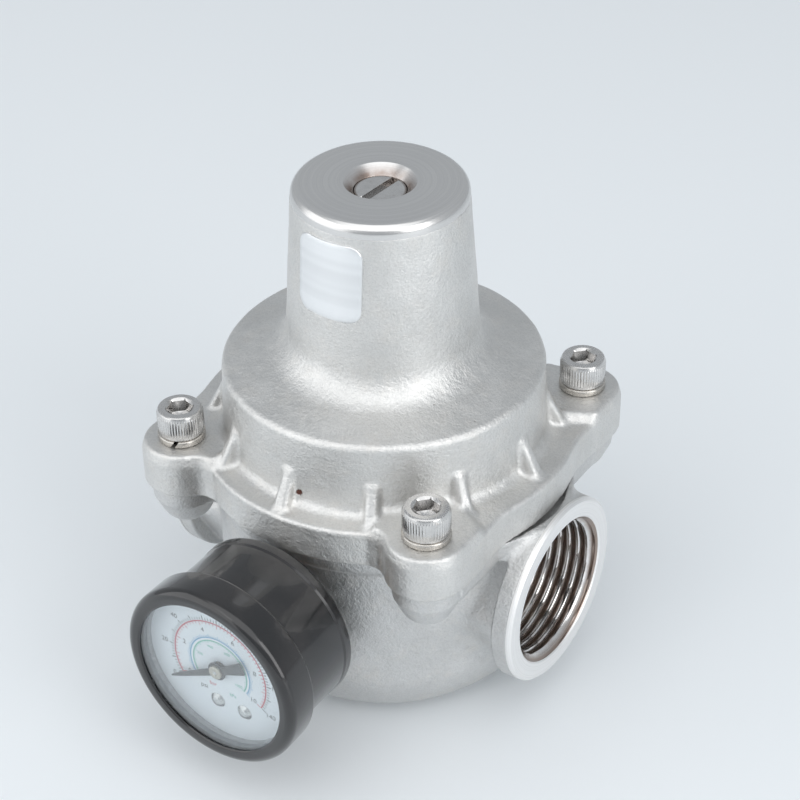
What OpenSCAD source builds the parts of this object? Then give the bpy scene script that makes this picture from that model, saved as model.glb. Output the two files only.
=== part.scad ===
// Direct-acting diaphragm pressure reducing valve with threaded ports and an outlet gauge.
// Origin: centre of the flat face under the body. +Z up along the stem, +X towards the outlet
// port, -X towards the inlet port, -Y towards the gauge. Millimetres.

/* [Body casting] */
// Radius of the bowl
bowl_r = 37; // [36:0.5:38]
// Rounding between the bowl and its flat bottom
bowl_round = 15; // [12:0.5:17]
// Height of the bonnet joint above the flat bottom
joint_z = 50.5; // [50:0.1:52]
// Height of the port axis
port_z = 30; // [29.5:0.1:30.5]
// Distance from the stem axis to each port face
port_reach = 45; // [44:0.5:48]
// Outer radius of the ring round each port
port_ring_r = 21; // [20:0.5:22]
// Length of that ring
port_ring_l = 4.8; // [4:0.1:6]
// Wall radius of the port hole, which is the crest radius of a G1 inner thread
port_bore_r = 15.15; // [15:0.05:15.3]
// Depth of the port hole
port_depth = 15.5; // [14:0.5:15.5]

/* [Bonnet casting] */
// Thickness of the bonnet flange between the lugs
flange_t = 8; // [7.5:0.1:9]
// Height of each lug's flat pad above that flange
pad_t = 1.8; // [1.2:0.1:2.2]
// Radius of the flange between the lugs
flange_r = 40.6; // [40:0.1:41]
// Radius of each screw lug
lug_r = 8.2; // [8:0.1:9]
// Screw distance from the stem axis along X and along Y
screw_xy = 31.15; // [31:0.05:32]
// Radius of the drum at its foot
drum_r = 35; // [34.5:0.1:35.5]
// Height of the whole valve
top_z = 117; // [115:0.5:119]
// Radius of the machined face on top
tower_top_r = 16.9; // [16:0.1:17.5]

/* [Fasteners] */
// Radius of a socket screw's head
screw_head_r = 5; // [4.8:0.1:5.2]
// Radius of a socket screw's shank
screw_r = 2.95; // [2.9:0.01:2.97]
// Length of a socket screw's shank
screw_l = 18; // [16:0.5:18]
// Thickness of a split spring washer
washer_t = 1.6; // [1.2:0.1:1.8]

/* [Valve inside] */
// Travel of the stem from open to shut
lift = 4; // [3:0.1:4]
// Radius of the stem
stem_r = 4; // [3.8:0.1:4]
// Radial running clearance of the stem and of the adjusting screw
running_gap = 0.05; // [0.03:0.01:0.08]
// Radius of the hole through the seat
seat_bore_r = 9.5; // [9:0.1:9.8]

/* [Gauge] */
// Height of the gauge axis
gauge_z = 32; // [31.5:0.1:32.5]
// Outer radius of the gauge case
case_r = 19.55; // [19:0.05:20]
// Outer radius of the gauge bezel
bezel_r = 21.35; // [21:0.05:21.5]
// Distance from the stem axis to the front of the bezel
gauge_front = 65.4; // [65:0.1:66]
// Angle that the pointer sweeps over its scale
pointer_sweep = 240; // [200:5:240]

/* [Hidden] */
$fn = 72;
eps = 0.01;
far = 100;                               // size of cutters that reach past the part
static_gap = 0.03;                       // clearance between fixed pieces of the valve
body_top_z = joint_z - 0.3;              // the castings stay apart and squeeze the diaphragm
flange_z = joint_z + flange_t;           // top face of the bonnet flange
pad_z = flange_z + pad_t;                // top face of each lug
collar_r = flange_r - 2.4;               // collar of the body under that flange
port_edge_x = screw_xy + lug_r;          // straight flange edge beside each port
port_bulge_x = 41.6;                     // where the bonnet flange bulges furthest over a port
port_bulge_y = 14;                       // half width of that bulge
lug_d = screw_xy * sqrt(2);
neck_r = 20.3;                           // corner radius of the hexagon neck behind a port ring
thread_r = 16.62;                        // outer thread radius of a port

// levels of the pieces on the stem, from the bottom up
floor_z = 5;
bush_top_z = 12;
bush_r = 6;
stop_gap = 0.3;
disc_nut_z = bush_top_z + stop_gap;
holder_z = disc_nut_z + 2.2;
seal_z = holder_z + 1.8;
seal_t = 3;
seat_lip_z = seal_z + seal_t + lift + 0.2;
bridge_z = 24;
bridge_top_z = 29;
bridge_bore_r = 13;
cavity_r = 28;
partition_x = 18;
plate_r = 17;
lower_plate_z = 44.2;
plate_t = 2;
diaphragm_t = 2.3;
diaphragm_r = 36;
diaphragm_rim_z = joint_z - diaphragm_t;
diaphragm_mid_z = lower_plate_z + plate_t;
upper_plate_z = diaphragm_mid_z + diaphragm_t;
spring_foot_z = upper_plate_z + 2.2;
spigot_r = 9.2;
spring_plate_z = 92;
spring_plate_t = 3;
main_wire_r = 1.7;
main_spring_r = 11.4;
return_wire_r = 0.6;
return_spring_r = 10;
adjust_r = 5.45;
adjust_hole_r = adjust_r + running_gap;
adjust_recess = 1.7;
spring_bore_r = 14.6;
spring_bore_top_z = 104;

// levels along the gauge axis, measured from the stem axis
boss_y = 38.5;
case_back_y = 41.5;
case_wall = 0.8;
block_y = 43;
back_plate_y = 52.5;
gear_y = 54;
front_plate_y = 57.2;
dial_y = 60.4;
dial_t = 0.6;
pointer_y = 61.9;
lens_y = 63.4;
lens_t = 1.3;
bezel_back_y = 57;
glass_r = 17.7;
tube_r = 14.6;
tube_half_t = 1.1;
tube_w = 6;

// instrument gears: the sector turns by teeth_ratio for each turn of the pointer
gear_module = 0.2;
pinion_teeth = 12;
sector_teeth = 72;
sector_angle = 60;
centre_gap = 0.04;
centre_d = gear_module * (pinion_teeth + sector_teeth) / 2 + centre_gap;
sector_turn = pointer_sweep * pinion_teeth / sector_teeth;
sector_rest = 90 - sector_turn / 2;      // direction of the sector's middle at rest
tail_l = 3.4;                            // sector pivot to link pin
link_pin = [0, -centre_d] - tail_l * [cos(sector_rest), sin(sector_rest)];
link_pin_travel = 2 * tail_l * sin(sector_turn / 2);
tip_pin = [13.4, -3.6];                  // pin on the closed end of the pressure tube
tube_start = -108;
tube_sweep = 262;
small_pin_r = 0.35;
zero_angle = 210;                        // pointer at the zero mark, seen from the front
dial_screws = [[-1.2, -9.4], [5.7, -9.4]];

// ---------- helpers ----------

// points along an arc, from angle a0 to angle a1
function arc(c, r, a0, a1, n = 8) =
    [for (i = [0 : n]) c + r * [cos(a0 + (a1 - a0) * i / n), sin(a0 + (a1 - a0) * i / n)]];

// centre of a fillet of radius f between a circle r0 at the origin and a circle r1 at distance d
function fillet_centre(r0, r1, d, f) =
    let (a = r0 + f, b = r1 + f, x = (a * a + d * d - b * b) / (2 * d)) [x, sqrt(a * a - x * x)];

// copies a child to the four screw places
module at_screws() {
    for (x = [-1, 1], y = [-1, 1]) translate([x * screw_xy, y * screw_xy, 0]) children();
}

// turns a child's +Z to point along +X, for s = 1, or -X, for s = -1
module along_x(s = 1) { rotate([0, s * 90, 0]) children(); }

// puts a child in the gauge: its +Z points out of the dial and its +X to the right of the reader
module at_gauge(depth = 0) { translate([0, -depth, gauge_z]) rotate([90, 0, 0]) children(); }

module ring(r_out, r_in, h) {
    difference() {
        cylinder(r = r_out, h = h);
        translate([0, 0, -eps]) cylinder(r = r_in, h = h + 2 * eps);
    }
}

module hexagon(across_flats, h) { cylinder(d = across_flats / cos(30), h = h, $fn = 6); }

// round wire wound on a cylinder, with closed end turns
module coil_spring(r, wire_r, z0, z1, turns, steps = 22, sides = 8) {
    n = turns * steps;
    function height(i) = let (t = i / steps, closed = 1)
        t < closed ? t * 2 * wire_r
        : t > turns - closed ? (z1 - z0) - 2 * wire_r - (turns - t) * 2 * wire_r
        : 2 * wire_r + (t - closed) / (turns - 2 * closed) * (z1 - z0 - 6 * wire_r);
    rings = [for (i = [0 : n]) let (a = 360 * i / steps)
        for (k = [0 : sides - 1]) let (b = -360 * k / sides, rr = r + wire_r * cos(b))
            [rr * cos(a), rr * sin(a), z0 + wire_r + height(i) + wire_r * sin(b)]];
    polyhedron(rings, concat(
        [[for (k = [0 : sides - 1]) sides - 1 - k]],
        [for (i = [0 : n - 1], k = [0 : sides - 1])
            [i * sides + k, i * sides + (k + 1) % sides, (i + 1) * sides + (k + 1) % sides]],
        [for (i = [0 : n - 1], k = [0 : sides - 1])
            [i * sides + k, (i + 1) * sides + (k + 1) % sides, (i + 1) * sides + k]],
        [[for (k = [0 : sides - 1]) n * sides + k]]));
}

// toothed sector outline, with the teeth centred on angle 0
module gear_outline(teeth, span, pitch_r, half_angles) {
    step = 360 / teeth;
    count = round(span / step);
    root = pitch_r - 1.25 * gear_module;
    tip = pitch_r + 0.75 * gear_module;
    teeth_points = [for (i = [0 : count - 1]) let (a = (i - (count - 1) / 2) * step) for (p = [
            [root, -half_angles[0]], [pitch_r, -half_angles[1]], [tip, -half_angles[2]],
            [tip, half_angles[2]], [pitch_r, half_angles[1]], [root, half_angles[0]]])
        p[0] * [cos(a + p[1]), sin(a + p[1])]];
    polygon(span >= 360 ? teeth_points : concat([[0, 0]], teeth_points));
}

// ---------- the two castings ----------

// outline shared by both flanges: a disc with four filleted lugs and straight edges at the ports
module flange_outline(r) {
    f = 4;
    edge_w = 16;
    c = fillet_centre(r, lug_r, lug_d, f);
    circle(r = r);
    at_screws() circle(r = lug_r);
    for (x = [-1, 1]) translate([x * (port_edge_x - edge_w / 2), 0])
        square([edge_w, 2 * screw_xy], center = true);
    for (x = [0, 1], y = [0, 1]) mirror([x, 0]) mirror([0, y]) rotate(45) difference() {
        polygon([[0, 0], [lug_d, 0], c]);
        translate(c) circle(r = f);
    }
}

// shallow arcs that reach out over both ports, as far as reach at the middle
module port_bulges(reach) {
    depth = reach - port_edge_x;
    bulge_r = (port_bulge_y * port_bulge_y + depth * depth) / (2 * depth);
    for (s = [-1, 1]) intersection() {
        translate([s * (reach - bulge_r), 0]) circle(r = bulge_r);
        translate([s * reach, 0]) square([16, 2 * port_bulge_y], center = true);
    }
}

module bonnet_outline() {
    flange_outline(flange_r);
    port_bulges(port_bulge_x);
}

module port_outside(s) {
    neck_x = 26;
    chamfer = 1;
    translate([0, 0, port_z]) along_x(s) {
        translate([0, 0, neck_x]) rotate(90) cylinder(r = neck_r, h = port_reach - neck_x - 1, $fn = 6);
        translate([0, 0, port_reach - port_ring_l]) cylinder(r = port_ring_r, h = port_ring_l - chamfer);
        translate([0, 0, port_reach - chamfer])
            cylinder(r1 = port_ring_r, r2 = port_ring_r - chamfer, h = chamfer);
    }
}

module port_hole(s) {
    translate([0, 0, port_z]) along_x(s) {
        translate([0, 0, port_reach - port_depth]) cylinder(r = port_bore_r, h = port_depth + 1);
        translate([0, 0, port_reach - (thread_r - port_bore_r)])
            cylinder(r1 = port_bore_r, r2 = thread_r + 0.2, h = thread_r - port_bore_r + 0.2);
    }
}

// channel between a port hole and the chamber on its side, kept between two heights
module port_channel(s, low_z, high_z) {
    inner_x = 8;
    intersection() {
        translate([0, 0, port_z]) along_x(s) translate([0, 0, inner_x])
            cylinder(r = port_bore_r - 0.5, h = port_reach - port_depth - inner_x + 1);
        translate([0, 0, (low_z + high_z) / 2]) cube([far, far, high_z - low_z], center = true);
    }
}

// space under the seat, shut off from the outlet side by a partition
module inlet_chamber() {
    wall_r = 31;
    corner = 10;
    post_r = bush_r + 2.5;
    intersection() {
        rotate_extrude() polygon(concat(
            [[post_r, floor_z]], arc([wall_r - corner, floor_z + corner], corner, -90, 0),
            [[wall_r, bridge_z], [0, bridge_z], [0, bush_top_z], [post_r, bush_top_z]]));
        translate([partition_x - far / 2, 0, far / 2]) cube(far, center = true);
    }
}

// space over the seat and under the diaphragm, shut off from the inlet side by a partition
module outlet_chamber() {
    sensing_z = port_z + port_bore_r + 1;
    translate([0, 0, sensing_z]) cylinder(r = cavity_r, h = body_top_z - sensing_z);
    intersection() {
        translate([0, 0, bridge_top_z]) cylinder(r = cavity_r, h = body_top_z - bridge_top_z);
        translate([far / 2 - partition_x, 0, far / 2]) cube(far, center = true);
    }
}

module valve_body() {
    flange_edge_z = 44.8;
    lug_low_z = 46;
    lug_tip_z = 39;
    lug_tip_r = 4.8;
    bulge_step = 0.8;
    boss_r = 9;
    boss_root = 8;
    tap_r = 4.9;
    tap_l = 9;
    gauge_hole_r = 2.2;
    bush_hole_z = 3;
    screw_hole_r = 3;
    screw_hole_z = pad_z + washer_t - screw_l - 1;
    color("silver") difference() {
        union() {
            rotate_extrude() polygon(concat([[0, 0]],
                arc([bowl_r - bowl_round, bowl_round], bowl_round, -90, 0, 12),
                [[bowl_r, body_top_z], [0, body_top_z]]));
            translate([0, 0, flange_edge_z]) linear_extrude(body_top_z - flange_edge_z)
                intersection() {
                    flange_outline(collar_r);
                    square([2 * port_edge_x, 2 * (screw_xy - 4)], center = true);
                }
            at_screws() {
                translate([0, 0, lug_low_z]) cylinder(r = lug_r, h = body_top_z - lug_low_z);
                translate([0, 0, lug_tip_z])
                    cylinder(r1 = lug_tip_r, r2 = lug_r, h = lug_low_z - lug_tip_z);
            }
            translate([0, 0, lug_low_z]) linear_extrude(body_top_z - lug_low_z)
                flange_outline(collar_r);
            translate([0, 0, lug_low_z]) linear_extrude(body_top_z - bulge_step - lug_low_z)
                port_bulges(port_bulge_x + 0.6);
            for (s = [-1, 1]) port_outside(s);
            at_gauge(bowl_r - boss_root) cylinder(r = boss_r, h = boss_y - bowl_r + boss_root);
        }
        translate([0, 0, body_top_z + far / 2]) cube(far, center = true);
        inlet_chamber();
        outlet_chamber();
        translate([0, 0, bridge_z - 1]) cylinder(r = bridge_bore_r, h = bridge_top_z - bridge_z + 2);
        translate([0, 0, bush_hole_z]) cylinder(r = bush_r, h = bridge_z - bush_hole_z);
        translate([0, 0, diaphragm_rim_z]) cylinder(r = diaphragm_r + static_gap, h = far);
        for (s = [-1, 1]) port_hole(s);
        port_channel(-1, 0, bridge_z);
        port_channel(1, bridge_top_z, joint_z);
        at_screws() translate([0, 0, screw_hole_z]) cylinder(r = screw_hole_r, h = far);
        at_gauge(cavity_r - 3) cylinder(r = gauge_hole_r, h = far);
        at_gauge(boss_y - tap_l) cylinder(r = tap_r, h = far);
    }
}

// outer shape of the drum and tower, turned round the stem axis
module dome_profile() {
    foot = 2.2;
    rim = 1;
    rim_r = 34.4;
    rim_z = flange_z + 16.1;
    waist = 5;
    waist_c = [25.5, flange_z + 24.1];
    edge = 1.6;
    edge_r = tower_top_r + edge;
    polygon(concat(
        [[0, flange_z - 2], [drum_r + foot, flange_z - 2]],
        arc([drum_r + foot, flange_z + foot], foot, 270, 180),
        arc([rim_r - rim, rim_z], rim, 0, 76),
        arc(waist_c, waist, 256, 184),
        arc([edge_r - edge, top_z - edge], edge, 4, 90),
        [[0, top_z]]));
}

// spring space inside the drum and tower, and the hole for the adjusting screw
module bonnet_inside() {
    drum_in_r = 30;
    roof_z = flange_z + 13.8;
    corner = 4;
    throat = 4;
    bevel = 2;
    hole_chamfer = 2.1;
    rotate_extrude() polygon(concat(
        [[0, joint_z - 1], [drum_in_r, joint_z - 1]],
        arc([drum_in_r - corner, roof_z - corner], corner, 0, 75),
        [[spring_bore_r + throat, roof_z + bevel], [spring_bore_r, roof_z + bevel + throat],
         [spring_bore_r, spring_bore_top_z - bevel], [spring_bore_r - bevel, spring_bore_top_z],
         [0, spring_bore_top_z]]));
    translate([0, 0, spring_bore_top_z - 1]) cylinder(r = adjust_hole_r, h = far);
    translate([0, 0, top_z - hole_chamfer])
        cylinder(r1 = adjust_hole_r, r2 = adjust_hole_r + hole_chamfer + eps, h = hole_chamfer + eps);
}

// one web between the drum and the flange
module rib() {
    rib_t = 3.4;
    rib_h = 8.7;
    foot_r = 39;
    foot_h = 0.4;
    nose = 1.2;
    root_r = drum_r - 3;
    rotate([90, 0, 0]) linear_extrude(rib_t, center = true)
        polygon(concat([[root_r, flange_z - 1], [foot_r, flange_z - 1], [foot_r, flange_z + foot_h]],
            arc([drum_r, flange_z + rib_h - nose], nose, 24, 90, 4), [[root_r, flange_z + rib_h]]));
}

// wedges that hold the four lugs, bounded by the ribs beside them
module lug_sectors() {
    reach = 70;
    half = 15;
    for (a = [45, 135, 225, 315])
        polygon([[0, 0], reach * [cos(a - half), sin(a - half)], reach * [cos(a + half), sin(a + half)]]);
}

module bonnet() {
    rib_count = 12;
    screw_hole_r = 3.3;
    color("silver") difference() {
        union() {
            translate([0, 0, joint_z]) linear_extrude(flange_t) bonnet_outline();
            translate([0, 0, flange_z - 1]) linear_extrude(pad_t + 1) intersection() {
                bonnet_outline();
                lug_sectors();
            }
            rotate_extrude() dome_profile();
            for (i = [0 : rib_count - 1]) rotate(i * 360 / rib_count) rib();
        }
        bonnet_inside();
        at_screws() translate([0, 0, joint_z - 1]) cylinder(r = screw_hole_r, h = far);
    }
}

// ---------- fasteners ----------

module cap_screws() {
    head_h = 6;
    chamfer = 0.5;
    socket = 5;
    head_z = pad_z + washer_t;
    color("gainsboro") at_screws() difference() {
        union() {
            translate([0, 0, head_z - screw_l]) cylinder(r = screw_r, h = screw_l + 1);
            translate([0, 0, head_z]) cylinder(r = screw_head_r, h = head_h - chamfer);
            translate([0, 0, head_z + head_h - chamfer])
                cylinder(r1 = screw_head_r, r2 = screw_head_r - chamfer, h = chamfer);
        }
        translate([0, 0, head_z + 3]) hexagon(socket, head_h);
    }
}

module spring_washers() {
    split = 1;
    color("darkgray") at_screws() rotate(-60) translate([0, 0, pad_z]) difference() {
        ring(screw_head_r + 0.1, screw_r + 0.25, washer_t);
        translate([0, -split / 2, -1]) rotate([0, 0, 8]) cube([10, split, washer_t + 2]);
    }
}

// ---------- valve inside ----------

module diaphragm() {
    color("dimgray") rotate_extrude() polygon([
        [stem_r + static_gap, diaphragm_mid_z], [plate_r + 0.8, diaphragm_mid_z],
        [cavity_r - 1, diaphragm_rim_z], [diaphragm_r, diaphragm_rim_z],
        [diaphragm_r, joint_z], [cavity_r - 2, joint_z],
        [plate_r + 0.3, upper_plate_z], [stem_r + static_gap, upper_plate_z]]);
}

module seat_ring() {
    flange_top_z = bridge_top_z + 2.5;
    groove_z = 25.6;
    groove_h = 1.8;
    lip_r = 11;
    legs = 3;
    hub_r = 6.5;
    r = bridge_bore_r - static_gap;
    color("lightsteelblue") {
        rotate_extrude() polygon([
            [seat_bore_r, seat_lip_z], [lip_r, seat_lip_z], [lip_r, bridge_z], [r, bridge_z + 0.5],
            [r, groove_z], [r - 1.4, groove_z], [r - 1.4, groove_z + groove_h], [r, groove_z + groove_h],
            [r, bridge_top_z], [bridge_bore_r + 2, bridge_top_z], [bridge_bore_r + 2, flange_top_z],
            [seat_bore_r, flange_top_z]]);
        difference() {
            union() {
                translate([0, 0, bridge_top_z - 1]) cylinder(r = hub_r, h = 5);
                for (i = [0 : legs - 1]) rotate(i * 360 / legs + 90)
                    translate([stem_r + 1, -1.2, bridge_top_z - 1]) cube([seat_bore_r - stem_r, 2.4, 3.5]);
            }
            translate([0, 0, bridge_top_z - 2]) cylinder(r = stem_r + running_gap, h = 8);
        }
    }
}

module seat_o_ring() {
    wire_r = 0.68;
    color("black") translate([0, 0, 26.5]) rotate_extrude()
        translate([bridge_bore_r - static_gap - wire_r, 0]) circle(r = wire_r, $fn = 24);
}

module stem_guide_bush() {
    color("darkgoldenrod") translate([0, 0, 3])
        ring(bush_r - static_gap, stem_r + running_gap, bush_top_z - 3);
}

module stem() {
    shoulder_r = 6;
    tail_z = 4;
    tip_z = 62;
    chamfer = 0.6;
    seal_top_z = seal_z + seal_t;
    seal_shoulder_z = seal_top_z + 2;
    plate_shoulder_z = lower_plate_z - 3;
    color("lightgray") rotate_extrude() polygon([
        [0, tail_z], [stem_r - chamfer, tail_z], [stem_r, tail_z + chamfer],
        [stem_r, seal_top_z], [shoulder_r, seal_top_z],
        [shoulder_r, seal_shoulder_z], [stem_r, seal_shoulder_z],
        [stem_r, plate_shoulder_z], [shoulder_r, plate_shoulder_z], [shoulder_r, lower_plate_z],
        [stem_r, lower_plate_z], [stem_r, tip_z - chamfer], [stem_r - chamfer, tip_z], [0, tip_z]]);
}

module disc_holder() {
    holder_r = 12.3;
    pocket_r = 11.6;
    color("lightsteelblue") rotate_extrude() polygon([
        [stem_r + static_gap, holder_z], [holder_r - 1, holder_z], [holder_r, holder_z + 1],
        [holder_r, seal_z + 2], [pocket_r, seal_z + 2], [pocket_r, seal_z],
        [stem_r + static_gap, seal_z]]);
}

module disc_seal() {
    color("black") translate([0, 0, seal_z]) ring(11.55, stem_r + static_gap, seal_t);
}

module disc_nut() {
    color("gainsboro") translate([0, 0, disc_nut_z]) difference() {
        hexagon(10, holder_z - disc_nut_z);
        translate([0, 0, -1]) cylinder(r = stem_r + static_gap, h = 5);
    }
}

module lower_diaphragm_plate() {
    color("lightgray") rotate_extrude() polygon(concat(
        [[stem_r + static_gap, lower_plate_z], [plate_r - 1.2, lower_plate_z]],
        arc([plate_r - 1.2, lower_plate_z + 1.2], 1.2, -90, 0, 4),
        [[plate_r, diaphragm_mid_z], [stem_r + static_gap, diaphragm_mid_z]]));
}

module upper_diaphragm_plate() {
    color("lightgray") rotate_extrude() polygon([
        [stem_r + static_gap, upper_plate_z], [plate_r, upper_plate_z], [plate_r, spring_foot_z + 1.5],
        [plate_r - 1.5, spring_foot_z + 1.5], [plate_r - 2.5, spring_foot_z], [spigot_r, spring_foot_z],
        [spigot_r, spring_foot_z + 2.5], [stem_r + static_gap, spring_foot_z + 2.5]]);
}

module stem_nut() {
    color("gainsboro") translate([0, 0, spring_foot_z + 2.5]) difference() {
        hexagon(13, 6);
        translate([0, 0, -1]) cylinder(r = stem_r + static_gap, h = 8);
    }
}

module return_spring() {
    color("slategray") coil_spring(return_spring_r, return_wire_r, floor_z, holder_z, 5, 20, 6);
}

module main_spring() {
    color("slategray") coil_spring(main_spring_r, main_wire_r, spring_foot_z, spring_plate_z, 7.5);
}

module spring_plate() {
    r = spring_bore_r - 0.4;
    top = spring_plate_z + spring_plate_t;
    color("lightgray") rotate_extrude() polygon([
        [0, spring_plate_z - 2.5], [spigot_r, spring_plate_z - 2.5], [spigot_r, spring_plate_z],
        [r, spring_plate_z], [r, top - 0.5], [r - 0.5, top], [4, top], [3.2, top - 1], [0, top - 1]]);
}

module adjusting_screw() {
    tip_z = spring_plate_z + spring_plate_t - 1 + running_gap;
    head_z = top_z - adjust_recess;
    slot_w = 1.8;
    slot_h = 2.5;
    nose_r = 3;
    nose_l = 3;
    chamfer = 0.6;
    edge = 0.8;
    slot_angle = 86;
    color("gainsboro") difference() {
        rotate_extrude() polygon([
            [0, tip_z], [nose_r - chamfer, tip_z], [nose_r, tip_z + chamfer], [nose_r, tip_z + nose_l],
            [adjust_r, tip_z + 1.5 * nose_l], [adjust_r, head_z - edge], [adjust_r - edge, head_z],
            [0, head_z]]);
        rotate(slot_angle) translate([0, 0, head_z]) cube([20, slot_w, 2 * slot_h], center = true);
    }
}

// ---------- gauge ----------

module gauge_socket() {
    shank_r = 4.85;
    flats = 11;
    block_w = 7;
    block_front = back_plate_y;
    color("goldenrod") difference() {
        union() {
            at_gauge(boss_y - 8) cylinder(r = shank_r, h = 9);
            at_gauge(boss_y + 1) translate([-flats / 2, -flats / 2, 0])
                cube([flats, flats, case_back_y - boss_y - 1]);
            at_gauge(case_back_y - 0.5) cylinder(r = 4.4, h = block_y - case_back_y + 1);
            at_gauge(block_y) translate([-block_w / 2, -tube_r - 2, 0])
                cube([block_w, tube_r + 7, block_front - block_y]);
        }
        at_gauge(boss_y - 9) cylinder(r = 1.5, h = 17);
    }
}

module gauge_seal_washer() { color("peru") at_gauge(boss_y) ring(7.5, 5, 1); }

module gauge_case() {
    depth = dial_y - case_back_y;
    corner = 1.5;
    hole_r = 4.5;
    color("black") at_gauge(case_back_y) rotate_extrude() polygon(concat(
        [[hole_r, 0]], arc([case_r - corner, corner], corner, -90, 0),
        [[case_r, depth], [case_r - case_wall, depth]],
        arc([case_r - corner, corner], corner - case_wall, 0, -90), [[hole_r, case_wall]]));
}

module gauge_bezel() {
    depth = gauge_front - bezel_back_y;
    lens_back = lens_y - bezel_back_y;
    inner_r = case_r + 0.1;
    color("black") at_gauge(bezel_back_y) rotate_extrude() polygon(concat(
        [[inner_r, 0]], arc([bezel_r - 0.6, 0.6], 0.6, -90, 0, 4),
        arc([bezel_r - 1.6, depth - 1.6], 1.6, 0, 90, 8), arc([glass_r + 0.6, depth - 0.6], 0.6, 90, 180, 4),
        [[glass_r, lens_back + lens_t + eps], [inner_r, lens_back + lens_t + eps]]));
}

module gauge_lens() {
    color([0.85, 0.93, 0.97, 0.3]) at_gauge(lens_y) cylinder(r = case_r - 0.15, h = lens_t);
}

module lens_gasket() {
    color("dimgray") at_gauge(dial_y + dial_t) ring(case_r - 0.1, glass_r + 0.3, lens_y - dial_y - dial_t);
}

module gauge_dial() {
    color("white") at_gauge(dial_y) difference() {
        cylinder(r = case_r - 0.1, h = dial_t);
        translate([0, 0, -1]) cylinder(r = 1.6, h = 3);
        for (p = dial_screws) translate([p[0], p[1], -1]) cylinder(r = 1.05, h = 3);
    }
}

module dial_screws() {
    head_r = 1.8;
    head_h = 0.95;
    ball_r = (head_r * head_r + head_h * head_h) / (2 * head_h);
    color("silver") for (p = dial_screws) at_gauge(dial_y + dial_t) translate([p[0], p[1], 0]) {
        intersection() {
            translate([0, 0, head_h - ball_r]) sphere(r = ball_r);
            cylinder(r = head_r, h = 2);
        }
        translate([0, 0, -3.4]) cylinder(r = 0.95, h = 3.5);
    }
}

// flattened C-shaped tube, from the socket block clockwise round to the right
module bourdon_tube() {
    wall = 0.4;
    color("goldenrod") at_gauge(gear_y - 8) rotate(tube_start - tube_sweep) {
        rotate_extrude(angle = tube_sweep) difference() {
            translate([tube_r - tube_half_t, 0]) square([2 * tube_half_t, tube_w]);
            translate([tube_r - tube_half_t + wall, wall])
                square([2 * (tube_half_t - wall), tube_w - 2 * wall]);
        }
    }
}

// plug that closes the tube, with the pin that drives the link
module bourdon_tip() {
    link_front = gear_y + 0.1;
    color("goldenrod") {
        at_gauge(gear_y - 8) rotate(tube_start - tube_sweep)
            translate([tube_r - tube_half_t, -2.03, 0]) cube([2 * tube_half_t, 2, tube_w]);
        at_gauge(gear_y - 8) translate([tip_pin[0], tip_pin[1], 0]) {
            cylinder(r = 0.8, h = tube_w + 0.8);
            cylinder(r = small_pin_r, h = link_front - gear_y + 8);
        }
    }
}

// outline of both movement plates, with holes for the arbor, the sector pivot and the pillars
module movement_plate(depth, t, screw_holes) {
    at_gauge(depth) difference() {
        union() {
            translate([-5, -13, 0]) cube([13, 17, t]);
            cylinder(r = 5, h = t);
        }
        translate([0, 0, -1]) cylinder(r = 0.45, h = 4);
        translate([0, -centre_d, -1]) cylinder(r = 0.45, h = 4);
        if (screw_holes) for (p = dial_screws) translate([p[0], p[1], -1]) cylinder(r = 1.05, h = 4);
    }
}

module movement_back_plate() { color("goldenrod") movement_plate(back_plate_y, 0.8, false); }
module movement_front_plate() { color("goldenrod") movement_plate(front_plate_y, 0.8, true); }

module movement_pillars() {
    color("gold") for (p = [[6.8, 2.8], [6.8, -11.8], [-4, 2.8], [-4, -11.8]]) at_gauge(back_plate_y + 0.8)
        translate([p[0], p[1], 0]) cylinder(r = 0.8, h = front_plate_y - back_plate_y - 0.8);
}

// sector at rest: the pinion meets it near one end of its teeth
module sector_gear() {
    pitch_r = gear_module * sector_teeth / 2;
    hub_r = 1.6;
    arm_w = 1.2;
    rim_in_r = 5.4;
    color("gold") {
        at_gauge(gear_y) translate([0, -centre_d, 0]) {
            rotate(sector_rest) linear_extrude(1) {
                difference() {
                    gear_outline(sector_teeth, sector_angle, pitch_r, [1.35, 1.05, 0.6]);
                    circle(r = rim_in_r);
                }
                for (a = [-1, 1]) rotate(a * sector_angle / 3) translate([0, -arm_w / 2])
                    square([rim_in_r + 0.4, arm_w]);
                translate([-tail_l, -arm_w / 2]) square([tail_l, arm_w]);
                translate([-tail_l, 0]) circle(r = arm_w / 2);
                circle(r = hub_r);
            }
        }
        at_gauge(gear_y - 0.65) translate(link_pin) cylinder(r = small_pin_r, h = 1);
        at_gauge(back_plate_y + 0.1) translate([0, -centre_d, 0])
            cylinder(r = 0.4, h = front_plate_y + 0.7 - back_plate_y);
    }
}

// link between the sector and the tube's tip pin, which has a slot to move in
module sector_link() {
    eye_r = 0.9;
    t = 0.45;
    slot_r = 0.62;
    play = 0.3;
    slot_end = tip_pin - [link_pin_travel + play, 0.1];
    slot_start = tip_pin + [play, -0.1];
    color("gold") at_gauge(gear_y - 0.6) linear_extrude(t) difference() {
        union() {
            translate(link_pin) circle(r = eye_r);
            for (p = [slot_start, slot_end]) translate(p) circle(r = slot_r + 0.5);
            polygon([slot_start + [0, slot_r + 0.5], slot_end + [0, slot_r + 0.5],
                slot_end - [0, slot_r + 0.5], slot_start - [0, slot_r + 0.5]]);
            polygon([link_pin + [-0.3, 0.5], link_pin + [0.3, -0.5],
                slot_end + [0.3, -0.9], slot_end + [-0.3, 0.9]]);
        }
        translate(link_pin) circle(r = small_pin_r + 0.06);
        for (p = [slot_start, slot_end]) translate(p) circle(r = slot_r);
        polygon([slot_start + [0, slot_r], slot_end + [0, slot_r],
            slot_end - [0, slot_r], slot_start - [0, slot_r]]);
    }
}

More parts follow.
